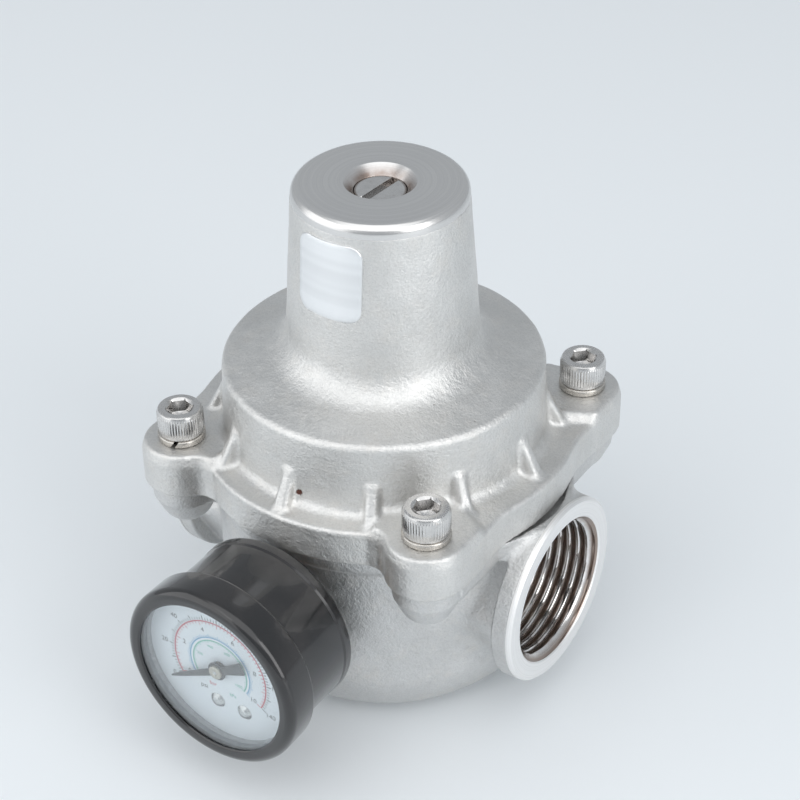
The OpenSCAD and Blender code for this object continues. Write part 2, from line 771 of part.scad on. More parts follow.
module pinion_arbor() {
    color("lightgray") {
        at_gauge(gear_y - 0.3) rotate(90) linear_extrude(1.8)
            rotate(360 / pinion_teeth / 2)
                gear_outline(pinion_teeth, 360, gear_module * pinion_teeth / 2, [7.5, 5.6, 2.6]);
        at_gauge(back_plate_y + 0.1) cylinder(r = 0.4, h = pointer_y + 0.8 - back_plate_y);
    }
}

// flat spiral that takes up the backlash of the gears
module hairspring() {
    turns = 4;
    steps = 16;
    strip = 0.09;
    function spiral(i, side) = let (a = 360 * i / steps, r = 1.3 + 0.6 * i / steps + side * strip)
        [r * cos(a), r * sin(a)];
    n = turns * steps;
    color("steelblue") at_gauge(gear_y + 2) linear_extrude(0.5) polygon(concat(
        [for (i = [0 : n]) spiral(i, 1)], [for (i = [0 : n]) spiral(n - i, -1)]));
}

module pointer() {
    tip_l = 14.4;
    tail_l = 7.8;
    hub_hole = 0.45;
    color([0.15, 0.15, 0.17]) at_gauge(pointer_y) rotate(zero_angle) linear_extrude(0.4) difference() {
        union() {
            polygon([[tip_l, -0.15], [tip_l, 0.15], [tip_l - 2.5, 0.45], [0, 0.85], [-2, 0.8],
                [-tail_l, 1.3], [-tail_l, -1.3], [-2, -0.8], [0, -0.85], [tip_l - 2.5, -0.45]]);
            circle(r = 2);
        }
        circle(r = hub_hole);
    }
}

module pointer_hub() {
    color("tan") at_gauge(pointer_y + 0.4) rotate_extrude() polygon([
        [0.45, 0], [1.6, 0], [1.6, 0.4], [1.3, 0.65], [0.45, 0.65]]);
}

valve_body();
bonnet();
cap_screws();
spring_washers();
diaphragm();
seat_ring();
seat_o_ring();
stem_guide_bush();
stem();
disc_holder();
disc_seal();
disc_nut();
lower_diaphragm_plate();
upper_diaphragm_plate();
stem_nut();
return_spring();
main_spring();
spring_plate();
adjusting_screw();
gauge_socket();
gauge_seal_washer();
gauge_case();
gauge_bezel();
gauge_lens();
lens_gasket();
gauge_dial();
dial_screws();
bourdon_tube();
bourdon_tip();
movement_back_plate();
movement_front_plate();
movement_pillars();
sector_gear();
sector_link();
pinion_arbor();
hairspring();
pointer();
pointer_hub();
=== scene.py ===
import math

import bmesh
import bpy
import numpy as np
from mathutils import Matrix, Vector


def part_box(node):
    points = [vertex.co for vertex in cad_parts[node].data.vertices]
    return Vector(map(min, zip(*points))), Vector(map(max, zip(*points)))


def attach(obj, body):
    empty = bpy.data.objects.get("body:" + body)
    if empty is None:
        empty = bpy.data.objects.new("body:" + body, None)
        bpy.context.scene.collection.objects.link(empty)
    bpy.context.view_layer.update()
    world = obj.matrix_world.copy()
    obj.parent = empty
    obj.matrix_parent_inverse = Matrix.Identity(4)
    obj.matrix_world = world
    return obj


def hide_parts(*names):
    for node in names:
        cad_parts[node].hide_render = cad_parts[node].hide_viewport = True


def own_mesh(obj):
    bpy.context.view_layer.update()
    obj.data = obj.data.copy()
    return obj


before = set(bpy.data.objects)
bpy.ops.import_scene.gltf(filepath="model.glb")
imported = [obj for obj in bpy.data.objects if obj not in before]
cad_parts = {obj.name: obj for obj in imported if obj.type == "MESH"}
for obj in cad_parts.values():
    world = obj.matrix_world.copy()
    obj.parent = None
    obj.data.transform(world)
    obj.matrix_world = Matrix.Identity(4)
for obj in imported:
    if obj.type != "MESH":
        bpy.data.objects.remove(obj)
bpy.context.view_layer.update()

import openvdb as vdb
from mathutils import Matrix, Vector

MM = 0.001
TURN = 2 * math.pi
X, Y, Z = 0, 1, 2


# ---------- sizes in millimetres, read from the frame ----------

def span(node, axis):
    """Lowest and highest coordinate of a CAD node along one axis, in millimetres."""
    low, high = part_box(node)
    return low[axis] / MM, high[axis] / MM


BODY_TOP = span("valve_body", Z)[1]
PORT_X = span("valve_body", X)[1]
JOINT, TOP = span("bonnet", Z)
BULGE_X = span("bonnet", X)[1]
DISC_R = span("bonnet", Y)[1]       # flange radius between the lugs
PAD_TOP, WASHER_TOP = span("spring_washers", Z)
FLANGE_TOP = PAD_TOP - 1.8        # each lug's pad stands above the flange
SCREW_LOW, HEAD_TOP = span("cap_screws", Z)
HEAD_R = 5
SCREW_XY = span("cap_screws", X)[1] - HEAD_R
LUG_R = 8.2
BODY_LUG_R = LUG_R - 1
LUG_EDGE = SCREW_XY + LUG_R
SEAM_REACH = 0.22                 # how far the bonnet's rim hides the diaphragm's gap
COLLAR_R = DISC_R - 2.4           # collar of the body under the bonnet's flange
SCREW_TIP, SCREW_FACE = span("adjusting_screw", Z)
SCREW_R = span("adjusting_screw", X)[1]
CASE_FRONT, CASE_BACK = (-y for y in span("gauge_case", Y))
CASE_R = span("gauge_case", X)[1]
GAUGE_Z = sum(span("gauge_case", Z)) / 2
BEZEL_FRONT, BEZEL_BACK = (-y for y in span("gauge_bezel", Y))
BEZEL_R = span("gauge_bezel", X)[1]
LENS_FRONT, LENS_BACK = (-y for y in span("gauge_lens", Y))
DIAL_FRONT, DIAL_BACK = (-y for y in span("gauge_dial", Y))
POINTER_FRONT, POINTER_BACK = (-y for y in span("pointer", Y))
HUB_FRONT = -span("pointer_hub", Y)[0]
PORT_Z = 30
PORT_RING_R = 21
RING_X = 40.2                     # back face of the ring round each port
NECK_APOTHEM = 17.6
MOUTH_R = 16.95                   # chamfer at the mouth of each port
THREAD_CREST_R = 15.15            # G1 inner thread
THREAD_DEPTH = 1.48
THREAD_PITCH = 2.309
THREAD_WALL_R = THREAD_CREST_R + THREAD_DEPTH + 0.12
THREAD_END_X = 29.5
CLEARANCE_HOLE_R = 3.3
TAPPED_HOLE_R = 3
BORE_R = 5.5                      # hole for the adjusting screw
TOWER_R = 20.3                    # radius of the tower where it leaves the shoulder
TOWER_Z = 85.3
TOWER_TAPER = math.radians(4)
DRUM_R = 35
FACE_STEP = 3.0                   # height of the machined face piece on top of the tower
GLASS_R = 17.7
ZERO_ANGLE = 210
SWEEP = 240
BONNET_PIT = (2.5, -34.75, 61.6)  # one larger flaw on the drum, next to the rib above the gauge
DIAL_SCREWS = ((-1.2, -9.4), (5.7, -9.4))
SCREW_PLACES = [(sx * SCREW_XY, sy * SCREW_XY) for sx in (-1, 1) for sy in (-1, 1)]


# ---------- distance fields, in millimetres ----------

def join(a, b, r):
    """Union with a fillet of radius r in its inner corner."""
    return np.maximum(r, np.minimum(a, b)) - np.hypot(np.maximum(r - a, 0), np.maximum(r - b, 0))


def meet(a, b, r):
    """Intersection with its outer edge rounded to radius r."""
    return np.minimum(-r, np.maximum(a, b)) + np.hypot(np.maximum(r + a, 0), np.maximum(r + b, 0))


def cut(a, b, r):
    """a without b, with the edge rounded to radius r."""
    return meet(a, -b, r)


def blend(a, b, k):
    """Union that also rounds surfaces meeting at a shallow angle."""
    return np.minimum(a, b) - np.maximum(k - np.abs(a - b), 0) ** 2 / (4 * k)


def ripple_waves(seed, count=14, shortest=2.5, longest=11):
    """Directions, phases and heights of the slight waves on a cast skin."""
    rng = np.random.default_rng(seed)
    lengths = np.geomspace(shortest, longest, count)
    directions = rng.normal(size=(count, 3))
    directions /= np.linalg.norm(directions, axis=1)[:, None]
    return directions * (TURN / lengths)[:, None], rng.uniform(0, TURN, count), 0.0016 * lengths


WAVES = ripple_waves(7)


def ripple(points):
    """Height of the cast skin's waves at each point."""
    numbers, phases, heights = WAVES
    return (np.sin(points @ numbers.T + phases) * heights).sum(axis=1)


def flange_outline(x, y, radius, lug_r):
    """A disc with four filleted lugs and straight edges beside the ports."""
    ax, ay = np.abs(x), np.abs(y)
    lug = np.hypot(ax - SCREW_XY, ay - SCREW_XY) - lug_r
    side = np.maximum(ax - SCREW_XY - lug_r, ay - SCREW_XY)
    return np.minimum(join(np.hypot(x, y) - radius, lug, 4), side)


def port_bulge(x, y, reach, half_width=14):
    """Shallow arcs that bring the flange out to reach over both ports."""
    depth = reach - LUG_EDGE
    radius = (half_width ** 2 + depth ** 2) / (2 * depth)
    arc = np.hypot(np.abs(x) + radius - reach, y) - radius
    return np.maximum(arc, np.abs(y) - half_width - 2)


def screw_holes(x, y, radius):
    """Distance from the nearest of four cylinders round the screws."""
    return np.hypot(np.abs(x) - SCREW_XY, np.abs(y) - SCREW_XY) - radius


def lug_pads(x, y, z):
    """Wedges round the diagonals, which bound the raised pads of the four lugs."""
    half = math.radians(15)
    ax, ay = np.abs(x), np.abs(y)
    along, across = (ax + ay) * math.sqrt(0.5), np.abs(ax - ay) * math.sqrt(0.5)
    wedge = across * math.cos(half) - along * math.sin(half)
    return meet(wedge, z - PAD_TOP, 1.5)


def ribs(x, y, z):
    """Twelve webs between the drum and the flange."""
    count, half_width, height, reach = 12, 1.65, 8.2, 4.3
    step = TURN / count
    angle = np.arctan2(y, x)
    angle = angle - step * np.round(angle / step)
    radius = np.hypot(x, y)
    along, across = radius * np.cos(angle), radius * np.sin(angle)
    slope = ((along - DRUM_R) * height + (z - FLANGE_TOP - height) * reach) / math.hypot(height, reach)
    web = meet(np.abs(across) - half_width + (z - FLANGE_TOP) * 0.05, slope, 1.1)
    web = meet(web, z - FLANGE_TOP - height, 0.8)
    return np.maximum(web, np.maximum(DRUM_R - 4 - along, FLANGE_TOP - 2 - z))


def bonnet_field(x, y, z):
    radius = np.hypot(x, y)
    tilt, shoulder_r, shoulder_z, draft = math.radians(14), 33.26, 75.56, 0.0375
    chamber_r, chamber_top, sleeve_r, sleeve_top = 30, 72.3, 14.6, 104
    wall = radius - DRUM_R + (z - FLANGE_TOP) * draft
    shoulder = (z - shoulder_z) * math.cos(tilt) + (radius - shoulder_r) * math.sin(tilt)
    drum = meet(wall, shoulder, 1.2)
    tower = (radius - TOWER_R + (z - TOWER_Z) * math.tan(TOWER_TAPER)) * math.cos(TOWER_TAPER)
    solid = join(drum, meet(tower, z - TOP + FACE_STEP, 0.1), 5)
    outline = blend(flange_outline(x, y, DISC_R, LUG_R), port_bulge(x, y, BULGE_X), 1.2)
    slab = meet(outline, z - FLANGE_TOP, 0.9)
    pads = meet(outline, lug_pads(x, y, z), 0.9)
    webs = meet(ribs(x, y, z), outline + 0.9, 0.5)
    solid = join(join(solid, join(slab, pads, 1.6), 2.2), webs, 1.2)
    chamber = meet(radius - chamber_r, z - chamber_top + (radius - 14) * 0.2, 4)
    chamber = join(chamber, meet(radius - sleeve_r, z - sleeve_top, 1.5), 1.5)
    solid = cut(meet(solid, JOINT - SEAM_REACH - z, 0.25), chamber, 0.6)
    solid = cut(solid, radius - BORE_R - 0.9, 0.1)
    return cut(solid, screw_holes(x, y, CLEARANCE_HOLE_R), 0.3)


def port_outside(x, y, z):
    ax, up = np.abs(x), z - PORT_Z
    across, over = np.abs(y), np.abs(up)
    slant = math.cos(math.radians(30))
    faces = meet(across * slant + up * 0.5 - NECK_APOTHEM, across * slant - up * 0.5 - NECK_APOTHEM, 2.2)
    neck = meet(meet(faces, over - NECK_APOTHEM, 2.2), ax - RING_X - 2, 0.1)
    neck_start, ring_end = 18, PORT_X - 1
    neck = np.maximum(neck, neck_start - ax)
    ring_length = np.abs(ax - (ring_end + RING_X) / 2) - (ring_end - RING_X) / 2
    ring = meet(np.hypot(y, up) - PORT_RING_R, ring_length, 0.35)
    return join(neck, ring, 0.5)


def body_inside(x, y, z):
    """Chambers, passages and bores of the body."""
    radius, up, ax = np.hypot(x, y), z - PORT_Z, np.abs(x)
    inlet_r, outlet_r, floor_z, wall_x, wall_low, wall_high = 31, 28, 5, 18, 24, 29
    sensing_low, recess_r, recess_low, bridge_r, bush_r, channel_r = 46.2, 36.03, 48.2, 13, 6, 14.65
    tap_r, gauge_channel_r = 4.9, 2.2
    post = meet(radius - 8.5, z - 12, 0.8)
    inlet = meet(meet(radius - inlet_r, floor_z - z, 9), np.maximum(z - wall_low, x - wall_x), 0.8)
    inlet = cut(inlet, post, 1)
    sensing = np.maximum(radius - outlet_r, sensing_low - z)
    outlet = meet(np.maximum(radius - outlet_r, wall_high - z), -wall_x - x, 0.8)
    inside = np.minimum(np.minimum(inlet, sensing), outlet)
    bridge = np.maximum(radius - bridge_r, np.abs(z - 26.5) - 4)
    bush = np.maximum(radius - bush_r, np.abs(z - 12) - 9)
    recess = np.maximum(radius - recess_r, recess_low - z)
    inside = np.minimum(np.minimum(inside, bridge), np.minimum(bush, recess))
    bore = np.hypot(y, up)
    channel = np.maximum(bore - channel_r, 8 - ax)
    side = np.where(x < 0, z - wall_low, wall_high - z)
    inside = np.minimum(inside, np.maximum(np.maximum(channel, side), ax - THREAD_END_X - 1))
    inside = np.minimum(inside, np.maximum(bore - THREAD_WALL_R - 0.15, THREAD_END_X - ax))
    from_gauge = np.hypot(x, z - GAUGE_Z)
    inside = np.minimum(inside, np.maximum(from_gauge - tap_r, np.abs(y + 39) - 9.5))
    return np.minimum(inside, np.maximum(from_gauge - gauge_channel_r, np.abs(y + 35) - 10))


def body_field(x, y, z):
    radius = np.hypot(x, y)
    bowl_r, bowl_edge, boss_r = 37, 15, 9
    collar_low, web_low, slot_low, lug_low, tap_low = 45.6, 44.8, 48.4, 39.5, 42.9
    bowl = meet(radius - bowl_r, -z, bowl_edge)
    collar = meet(flange_outline(x, y, COLLAR_R, BODY_LUG_R), collar_low - z, 1)
    side = meet(np.maximum(np.abs(x) - SCREW_XY - BODY_LUG_R, np.abs(y) - SCREW_XY + 2), web_low - z, 0.8)
    lip = meet(meet(port_bulge(x, y, BULGE_X + 1.8), web_low - z, 0.8), z - BODY_TOP + 0.1, 0.3)
    slot = np.maximum(port_bulge(x, y, BULGE_X + 1, 11), np.maximum(slot_low - z, DISC_R - 1.5 - np.abs(x)))
    cone = np.minimum(BODY_LUG_R, BODY_LUG_R - (46 - z) * 0.45)
    lug = meet(screw_holes(x, y, cone), lug_low - z, 2.5)
    flange = np.minimum(blend(np.minimum(collar, lug), side, 0.8), lip)
    boss = np.maximum(np.hypot(x, z - GAUGE_Z) - boss_r, np.abs(y + 32) - 6.5)
    solid = join(join(bowl, port_outside(x, y, z), 2.2), boss, 3)
    solid = join(solid, meet(flange, z - BODY_TOP, 0.7), 1.6)
    solid = np.maximum(solid, z - BODY_TOP)
    solid = cut(cut(solid, slot, 0.45), body_inside(x, y, z), 0.4)
    return cut(solid, np.maximum(screw_holes(x, y, TAPPED_HOLE_R), tap_low - z), 0.3)


def adjusting_screw_field(x, y, z):
    """Slotted set screw with its thread and round nose."""
    pitch, depth, nose_r, nose_h = 1.5, 0.75, 3, 3.4
    slot_angle, slot_half, slot_depth = math.radians(86), 0.9, 1.9
    radius, angle = np.hypot(x, y), np.arctan2(y, x)
    phase = (z / pitch - angle / TURN) % 1
    thread = SCREW_R - depth * np.clip(2.4 * np.abs(phase - 0.5) - 0.2, 0, 1) * (z < SCREW_FACE - 2.2)
    shank = meet(radius - thread, z - SCREW_FACE, 0.95)
    shank = meet(shank, SCREW_TIP + nose_h - z, 0.4)
    nose = meet(radius - nose_r, SCREW_TIP - z, 0.7)
    solid = join(shank, np.maximum(nose, z - SCREW_TIP - 5), 0.6)
    across = y * math.cos(slot_angle) - x * math.sin(slot_angle)
    return cut(solid, np.maximum(np.abs(across) - slot_half, SCREW_FACE - slot_depth - z), 0.3)


# ---------- making meshes ----------

def new_object(name, mesh, body="valve"):
    piece = bpy.data.objects.new(name, mesh)
    bpy.context.scene.collection.objects.link(piece)
    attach(piece, body)
    return piece


def finished(piece, finish, nodes):
    """Gives a piece its material and hides the CAD nodes that it stands for."""
    piece.data.materials.clear()
    piece.data.materials.append(finish)
    if nodes:
        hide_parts(*nodes)
    return piece


def solid_mesh(name, parts, crease=32):
    """One mesh from (points in millimetres, faces) parts, with outward normals and crisp edges."""
    mesh = bpy.data.meshes.new(name)
    points, faces = [], []
    for part_points, part_faces in parts:
        faces += [[len(points) + i for i in face] for face in part_faces]
        points += [tuple(float(c) * MM for c in p) for p in part_points]
    mesh.from_pydata(points, [], faces)
    work = bmesh.new()
    work.from_mesh(mesh)
    bmesh.ops.recalc_face_normals(work, faces=work.faces)
    work.to_mesh(mesh)
    work.free()
    mesh.polygons.foreach_set("use_smooth", [True] * len(mesh.polygons))
    mesh.set_sharp_from_angle(angle=math.radians(crease))
    return mesh


def made_of(name, parts, finish, nodes, crease=32, body="valve"):
    """A finished piece on one body, from parts."""
    return finished(new_object(name, solid_mesh(name, parts, crease), body), finish, nodes)


def field_slope(field, points, step):
    """Value and gradient of a field with its ripple at each point."""
    def value(p):
        return field(p[:, X], p[:, Y], p[:, Z])
    slope = np.empty_like(points)
    for axis in range(3):
        shift = np.zeros(3)
        shift[axis] = step
        slope[:, axis] = (value(points + shift) - value(points - shift)) / (2 * step)
    return value(points), slope


def cast(name, field, low, high, voxel, most_faces=195000, skin=True):
    """A closed mesh on the zero surface of a field, with normals from the field itself."""
    axes = [np.arange(low[i], high[i] + voxel, voxel, dtype=np.float32) for i in range(3)]
    grid_x, grid_y, grid_z = np.meshgrid(*axes, indexing="ij", sparse=True)
    values = field(grid_x, grid_y, grid_z).astype(np.float32)
    far_outside = 10.0
    grid = vdb.FloatGrid(far_outside)
    grid.copyFromArray(np.ascontiguousarray(values))
    points, quads = grid.convertToQuads(isovalue=0)
    points = (points * voxel + np.array(low)).astype(float)
    mesh = bpy.data.meshes.new(name)
    mesh.from_pydata((points * MM).tolist(), [], quads.tolist())
    piece = new_object(name, mesh)
    if 2 * len(quads) > most_faces:
        thin = piece.modifiers.new("thin", "DECIMATE")
        thin.ratio = most_faces / (2 * len(quads))
        mesh = bpy.data.meshes.new_from_object(
            piece.evaluated_get(bpy.context.evaluated_depsgraph_get()))
        piece.modifiers.clear()
        piece.data = mesh

    def skinned(x, y, z):
        value = field(x, y, z)
        return value + ripple(np.stack((x, y, z), axis=1)) if skin else value
    points = np.empty(len(mesh.vertices) * 3)
    mesh.vertices.foreach_get("co", points)
    points = points.reshape(-1, 3) / MM
    projections, fine_step, smooth_step, least_slope = 3, 0.05, 0.12, 0.2
    for _ in range(projections):
        value, slope = field_slope(skinned, points, fine_step)
        move = np.clip(value / np.maximum((slope ** 2).sum(axis=1), least_slope), -voxel / 2, voxel / 2)
        points -= slope * move[:, None]
    mesh.vertices.foreach_set("co", (points * MM).ravel())
    slope = field_slope(skinned, points, smooth_step)[1]
    slope /= np.maximum(np.linalg.norm(slope, axis=1), 1e-6)[:, None]
    mesh.polygons.foreach_set("use_smooth", [True] * len(mesh.polygons))
    mesh.update()
    mesh.normals_split_custom_set_from_vertices(slope.tolist())
    return piece


def rounded(corners, steps=5):
    """A closed outline from (x, y, radius) corners, each rounded to its radius."""
    points = []
    for i, (x, y, radius) in enumerate(corners):
        here = np.array((x, y), float)
        if not radius:
            points.append(here)
            continue
        before = np.array(corners[i - 1][:2]) - here
        after = np.array(corners[(i + 1) % len(corners)][:2]) - here
        before /= np.linalg.norm(before)
        after /= np.linalg.norm(after)
        half = math.acos(float(np.clip(before @ after, -1, 1))) / 2
        middle = (before + after) / np.linalg.norm(before + after)
        centre = here + middle * radius / math.sin(half)
        reach, sweep = radius / math.tan(half), math.pi - 2 * half
        start, end = here + before * reach - centre, here + after * reach - centre
        for k in range(steps + 1):
            angle = sweep * k / steps
            arm = start * math.sin(sweep - angle) + end * math.sin(angle)
            points.append(centre + arm / math.sin(sweep))
    return points


def skinned_loops(loops, ring):
    """Joins closed loops of points into one skin: a ring of loops, or a stack closed at both ends."""
    sides, count = len(loops[0]), len(loops)
    points = [p for loop in loops for p in loop]
    faces = [[i * sides + k, i * sides + (k + 1) % sides,
              (i + 1) % count * sides + (k + 1) % sides, (i + 1) % count * sides + k]
             for i in range(count if ring else count - 1) for k in range(sides)]
    if not ring:
        faces.append(list(range(sides)))
        faces.append([(count - 1) * sides + k for k in range(sides)])
    return points, faces


def lathe(loops, sides, ring=True, at=(0, 0)):
    """Turns (radius, height) loops round the local Z axis. A radius may hold one value per side."""
    angles = np.arange(sides) * TURN / sides
    return skinned_loops([list(zip(at[0] + radius * np.cos(angles), at[1] + radius * np.sin(angles),
                                   np.broadcast_to(height, sides))) for radius, height in loops], ring)


def moved(part, matrix):
    """A part with its points carried to their place."""
    points, faces = part
    return [tuple(matrix @ Vector([float(c) for c in p])) for p in points], faces


def prism(outline, low, high):
    """A flat outline given thickness along local Z."""
    count = len(outline)
    points = [(x, y, low) for x, y in outline] + [(x, y, high) for x, y in outline]
    faces = [[k, (k + 1) % count, count + (k + 1) % count, count + k] for k in range(count)]
    return points, faces + [list(range(count)), [count + k for k in range(count)]]


def band(radius_in, radius_out, start, end, low, high, steps):
    """A flat arc between two radii, from angle start to angle end in degrees."""
    angles = [math.radians(start + (end - start) * k / steps) for k in range(steps + 1)]
    outline = [(radius_out * math.cos(a), radius_out * math.sin(a)) for a in angles]
    outline += [(radius_in * math.cos(a), radius_in * math.sin(a)) for a in reversed(angles)]
    points, _ = prism(outline, low, high)
    count, half = len(outline), steps + 1
    faces = [[k, (k + 1) % count, count + (k + 1) % count, count + k] for k in range(count)]
    for base in (0, count):
        faces += [[base + k, base + k + 1, base + count - k - 2, base + count - k - 1]
                  for k in range(half - 1)]
    return points, faces


# places: local Z out of the dial, or along +X or -X out of a port
GAUGE = Matrix(((1, 0, 0, 0), (0, 0, -1, 0), (0, 1, 0, GAUGE_Z), (0, 0, 0, 1)))
PORTS = {"outlet": Matrix(((0, 0, 1, 0), (1, 0, 0, 0), (0, 1, 0, PORT_Z), (0, 0, 0, 1))),
         "inlet": Matrix(((0, 0, -1, 0), (-1, 0, 0, 0), (0, 1, 0, PORT_Z), (0, 0, 0, 1)))}


# ---------- materials ----------

def add_node(tree, kind, inputs=(), **settings):
    """A new node. Each input is a value or another node's output."""
    made = tree.nodes.new(kind)
    for key, value in settings.items():
        setattr(made, key, value)
    for socket, value in dict(inputs).items():
        if isinstance(value, bpy.types.NodeSocket):
            tree.links.new(value, made.inputs[socket])
        else:
            made.inputs[socket].default_value = value
    return made


class Finish:
    """A Principled material that is built up from noise, marks and grain."""

    def __init__(self, name, colour, metallic, roughness, **sockets):
        self.made = bpy.data.materials.new(name)
        self.made.use_nodes = True
        self.tree = self.made.node_tree
        self.shader = self.tree.nodes["Principled BSDF"]
        self.shader.inputs["Base Color"].default_value = (*colour, 1)
        self.shader.inputs["Metallic"].default_value = metallic
        self.shader.inputs["Roughness"].default_value = roughness
        for socket, value in sockets.items():
            self.shader.inputs[socket.replace("_", " ").title()].default_value = value
        self.place = self.node("ShaderNodeTexCoord").outputs["Object"]
        self.colour = None
        self.bump = None

    def node(self, kind, inputs=(), **settings):
        return add_node(self.tree, kind, inputs, **settings)

    def link(self, output, socket):
        self.tree.links.new(output, self.shader.inputs[socket])

    def math(self, operation, a, b):
        return self.node("ShaderNodeMath", {0: a, 1: b}, operation=operation).outputs[0]

    def noise(self, size_mm, detail=3.0, rough=0.55, place=None):
        made = self.node("ShaderNodeTexNoise", {"Vector": place or self.place, "Scale": 1 / (size_mm * MM),
                                                "Detail": detail, "Roughness": rough})
        return made.outputs["Fac"]

    def scale_place(self, x, y, z):
        return self.node("ShaderNodeMapping", {"Vector": self.place, "Scale": (x, y, z)}).outputs["Vector"]

    def remap(self, value, low, high, to_low, to_high):
        return self.node("ShaderNodeMapRange", {"Value": value, "From Min": low, "From Max": high,
                                                "To Min": to_low, "To Max": to_high}).outputs["Result"]

    def tint(self, amount, colour):
        """Mixes colour over what is there so far, by amount."""
        base = self.colour or tuple(self.shader.inputs["Base Color"].default_value)
        mix = self.node("ShaderNodeMix", {"Factor": amount, 6: base, 7: (*colour, 1)}, data_type="RGBA")
        self.colour = mix.outputs[2]
        self.link(self.colour, "Base Color")

    def rough(self, value, low, high, to_low, to_high):
        self.link(self.remap(value, low, high, to_low, to_high), "Roughness")

    def relief(self, height, depth_mm):
        """Adds bump of that depth."""
        inputs = {"Height": height, "Distance": depth_mm * MM, "Strength": 1.0}
        if self.bump:
            inputs["Normal"] = self.bump
        self.bump = self.node("ShaderNodeBump", inputs).outputs["Normal"]
        self.link(self.bump, "Normal")

    def radius_from(self, axis, centre=(0, 0, 0)):
        """Distance from a line through centre along an axis, in metres."""
        shift = self.node("ShaderNodeVectorMath", {0: self.place, 1: centre}, operation="SUBTRACT").outputs[0]
        flat = [1, 1, 1]
        flat[axis] = 0
        flat = self.node("ShaderNodeVectorMath", {0: shift, 1: flat}, operation="MULTIPLY").outputs[0]
        return self.node("ShaderNodeVectorMath", {0: flat}, operation="LENGTH").outputs["Value"]

    def rings(self, axis, centre, spacing_mm):
        """Noise that depends on the radius only, as turning leaves it."""
        radius = self.radius_from(axis, centre)
        line = self.node("ShaderNodeTexNoise", {"W": radius, "Scale": 1 / (spacing_mm * MM), "Detail": 2.0},
                         noise_dimensions="1D")
        return line.outputs["Fac"]


def cast_steel(name, colour=(0.75, 0.745, 0.73), roughness=0.46, grain=0.1, pit_at=None):
    """Blasted investment casting: fine grain, cloudy tone, a few small pits."""
    f = Finish(name, colour, 1.0, roughness)
    cloud = f.noise(16, 4)
    f.tint(f.remap(cloud, 0.35, 0.68, 0, 0.6), tuple(c * 0.82 for c in colour))
    patch = f.noise(5, 5, 0.65)
    f.tint(f.remap(patch, 0.5, 0.75, 0, 0.35), (0.78, 0.74, 0.69))
    fine = f.noise(0.42, 3, 0.7)
    f.tint(f.remap(fine, 0.45, 0.8, 0, 0.5), tuple(c * 0.66 for c in colour))
    spots = f.node("ShaderNodeTexVoronoi", {"Vector": f.place, "Scale": 1 / (24 * MM)}).outputs["Distance"]
    pit = f.remap(spots, 0.007, 0.013, 1, 0)
    f.tint(pit, (0.10, 0.055, 0.04))
    f.rough(f.noise(2.2, 4), 0.3, 0.7, roughness - 0.06, roughness + 0.10)
    f.relief(f.noise(1.7, 2), grain * 0.6)
    f.relief(f.noise(0.85, 2), grain)
    f.relief(f.noise(0.5, 2, place=f.scale_place(0.3, 0.3, 1)), grain * 0.4)
    f.relief(fine, grain)
    f.relief(pit, -0.12)
    if pit_at:
        middle = tuple(c * MM for c in pit_at)
        away = f.node("ShaderNodeVectorMath", {0: f.place, 1: middle}, operation="DISTANCE")
        ragged = {0: f.noise(0.7, 3), 1: 0.9 * MM, 2: 0.25 * MM}
        edge = f.node("ShaderNodeMath", ragged, operation="MULTIPLY_ADD")
        inward = f.math("SUBTRACT", away.outputs["Value"], edge.outputs[0])
        hole = f.remap(inward, -0.15 * MM, 0.15 * MM, 1, 0)
        f.tint(hole, (0.16, 0.075, 0.06))
        f.relief(hole, -0.25)
    return f.made


def turned_steel(name, axis, centre, spacing_mm=0.16, roughness=0.22, colour=(0.72, 0.71, 0.70),
                 spin=0.0, painted_shade_r=0.0):
    """Turned face with rings round its axis, brushed by spin, and with painted shade, a patchy brown tint,
    inside radius painted_shade_r.
    """
    f = Finish(name, colour, 1.0, roughness)
    rings = f.rings(axis, centre, spacing_mm)
    broad = f.rings(axis, centre, spacing_mm * 9)
    f.tint(f.remap(rings, 0.35, 0.75, 0, 0.35), tuple(c * 0.72 for c in colour))
    f.tint(f.remap(broad, 0.4, 0.7, 0, 0.25), tuple(min(1, c * 1.15) for c in colour))
    f.rough(f.noise(9, 2), 0.3, 0.7, roughness, roughness + 0.05)
    # painted shade: a patchy brown tint inside this radius, over the chamfered recess round a bore
    if painted_shade_r:
        near = f.remap(f.radius_from(axis, centre), (painted_shade_r - 1.5) * MM, painted_shade_r * MM, 1, 0)
        patchy = f.remap(f.noise(4, 3), 0.35, 0.65, 0.35, 0.9)
        f.tint(f.math("MULTIPLY", near, patchy), (0.32, 0.24, 0.20))
    f.relief(rings, 0.003)
    if spin:
        f.shader.inputs["Anisotropic"].default_value = spin
        tangent = f.node("ShaderNodeTangent", direction_type="RADIAL", axis="XYZ"[axis])
        f.link(tangent.outputs["Tangent"], "Tangent")
    return f.made


def threaded_steel(name, crest_r, groove_r):
    """Cut thread: polished crests, with painted shade, a brownish tint that deepens into the grooves."""
    f = Finish(name, (0.80, 0.79, 0.78), 1.0, 0.16)
    depth = f.remap(f.radius_from(X, (0, 0, PORT_Z * MM)), crest_r * MM, groove_r * MM, 0, 1)
    # painted shade: a brown tint that grows with depth into the thread's grooves
    f.tint(f.remap(depth, 0.12, 0.75, 0, 0.9), (0.30, 0.235, 0.20))
    f.tint(f.remap(f.noise(2.5, 3), 0.45, 0.75, 0, 0.4), (0.42, 0.32, 0.26))
    f.rough(depth, 0.1, 0.8, 0.16, 0.34)
    f.relief(f.noise(0.3, 2), 0.002)
    return f.made


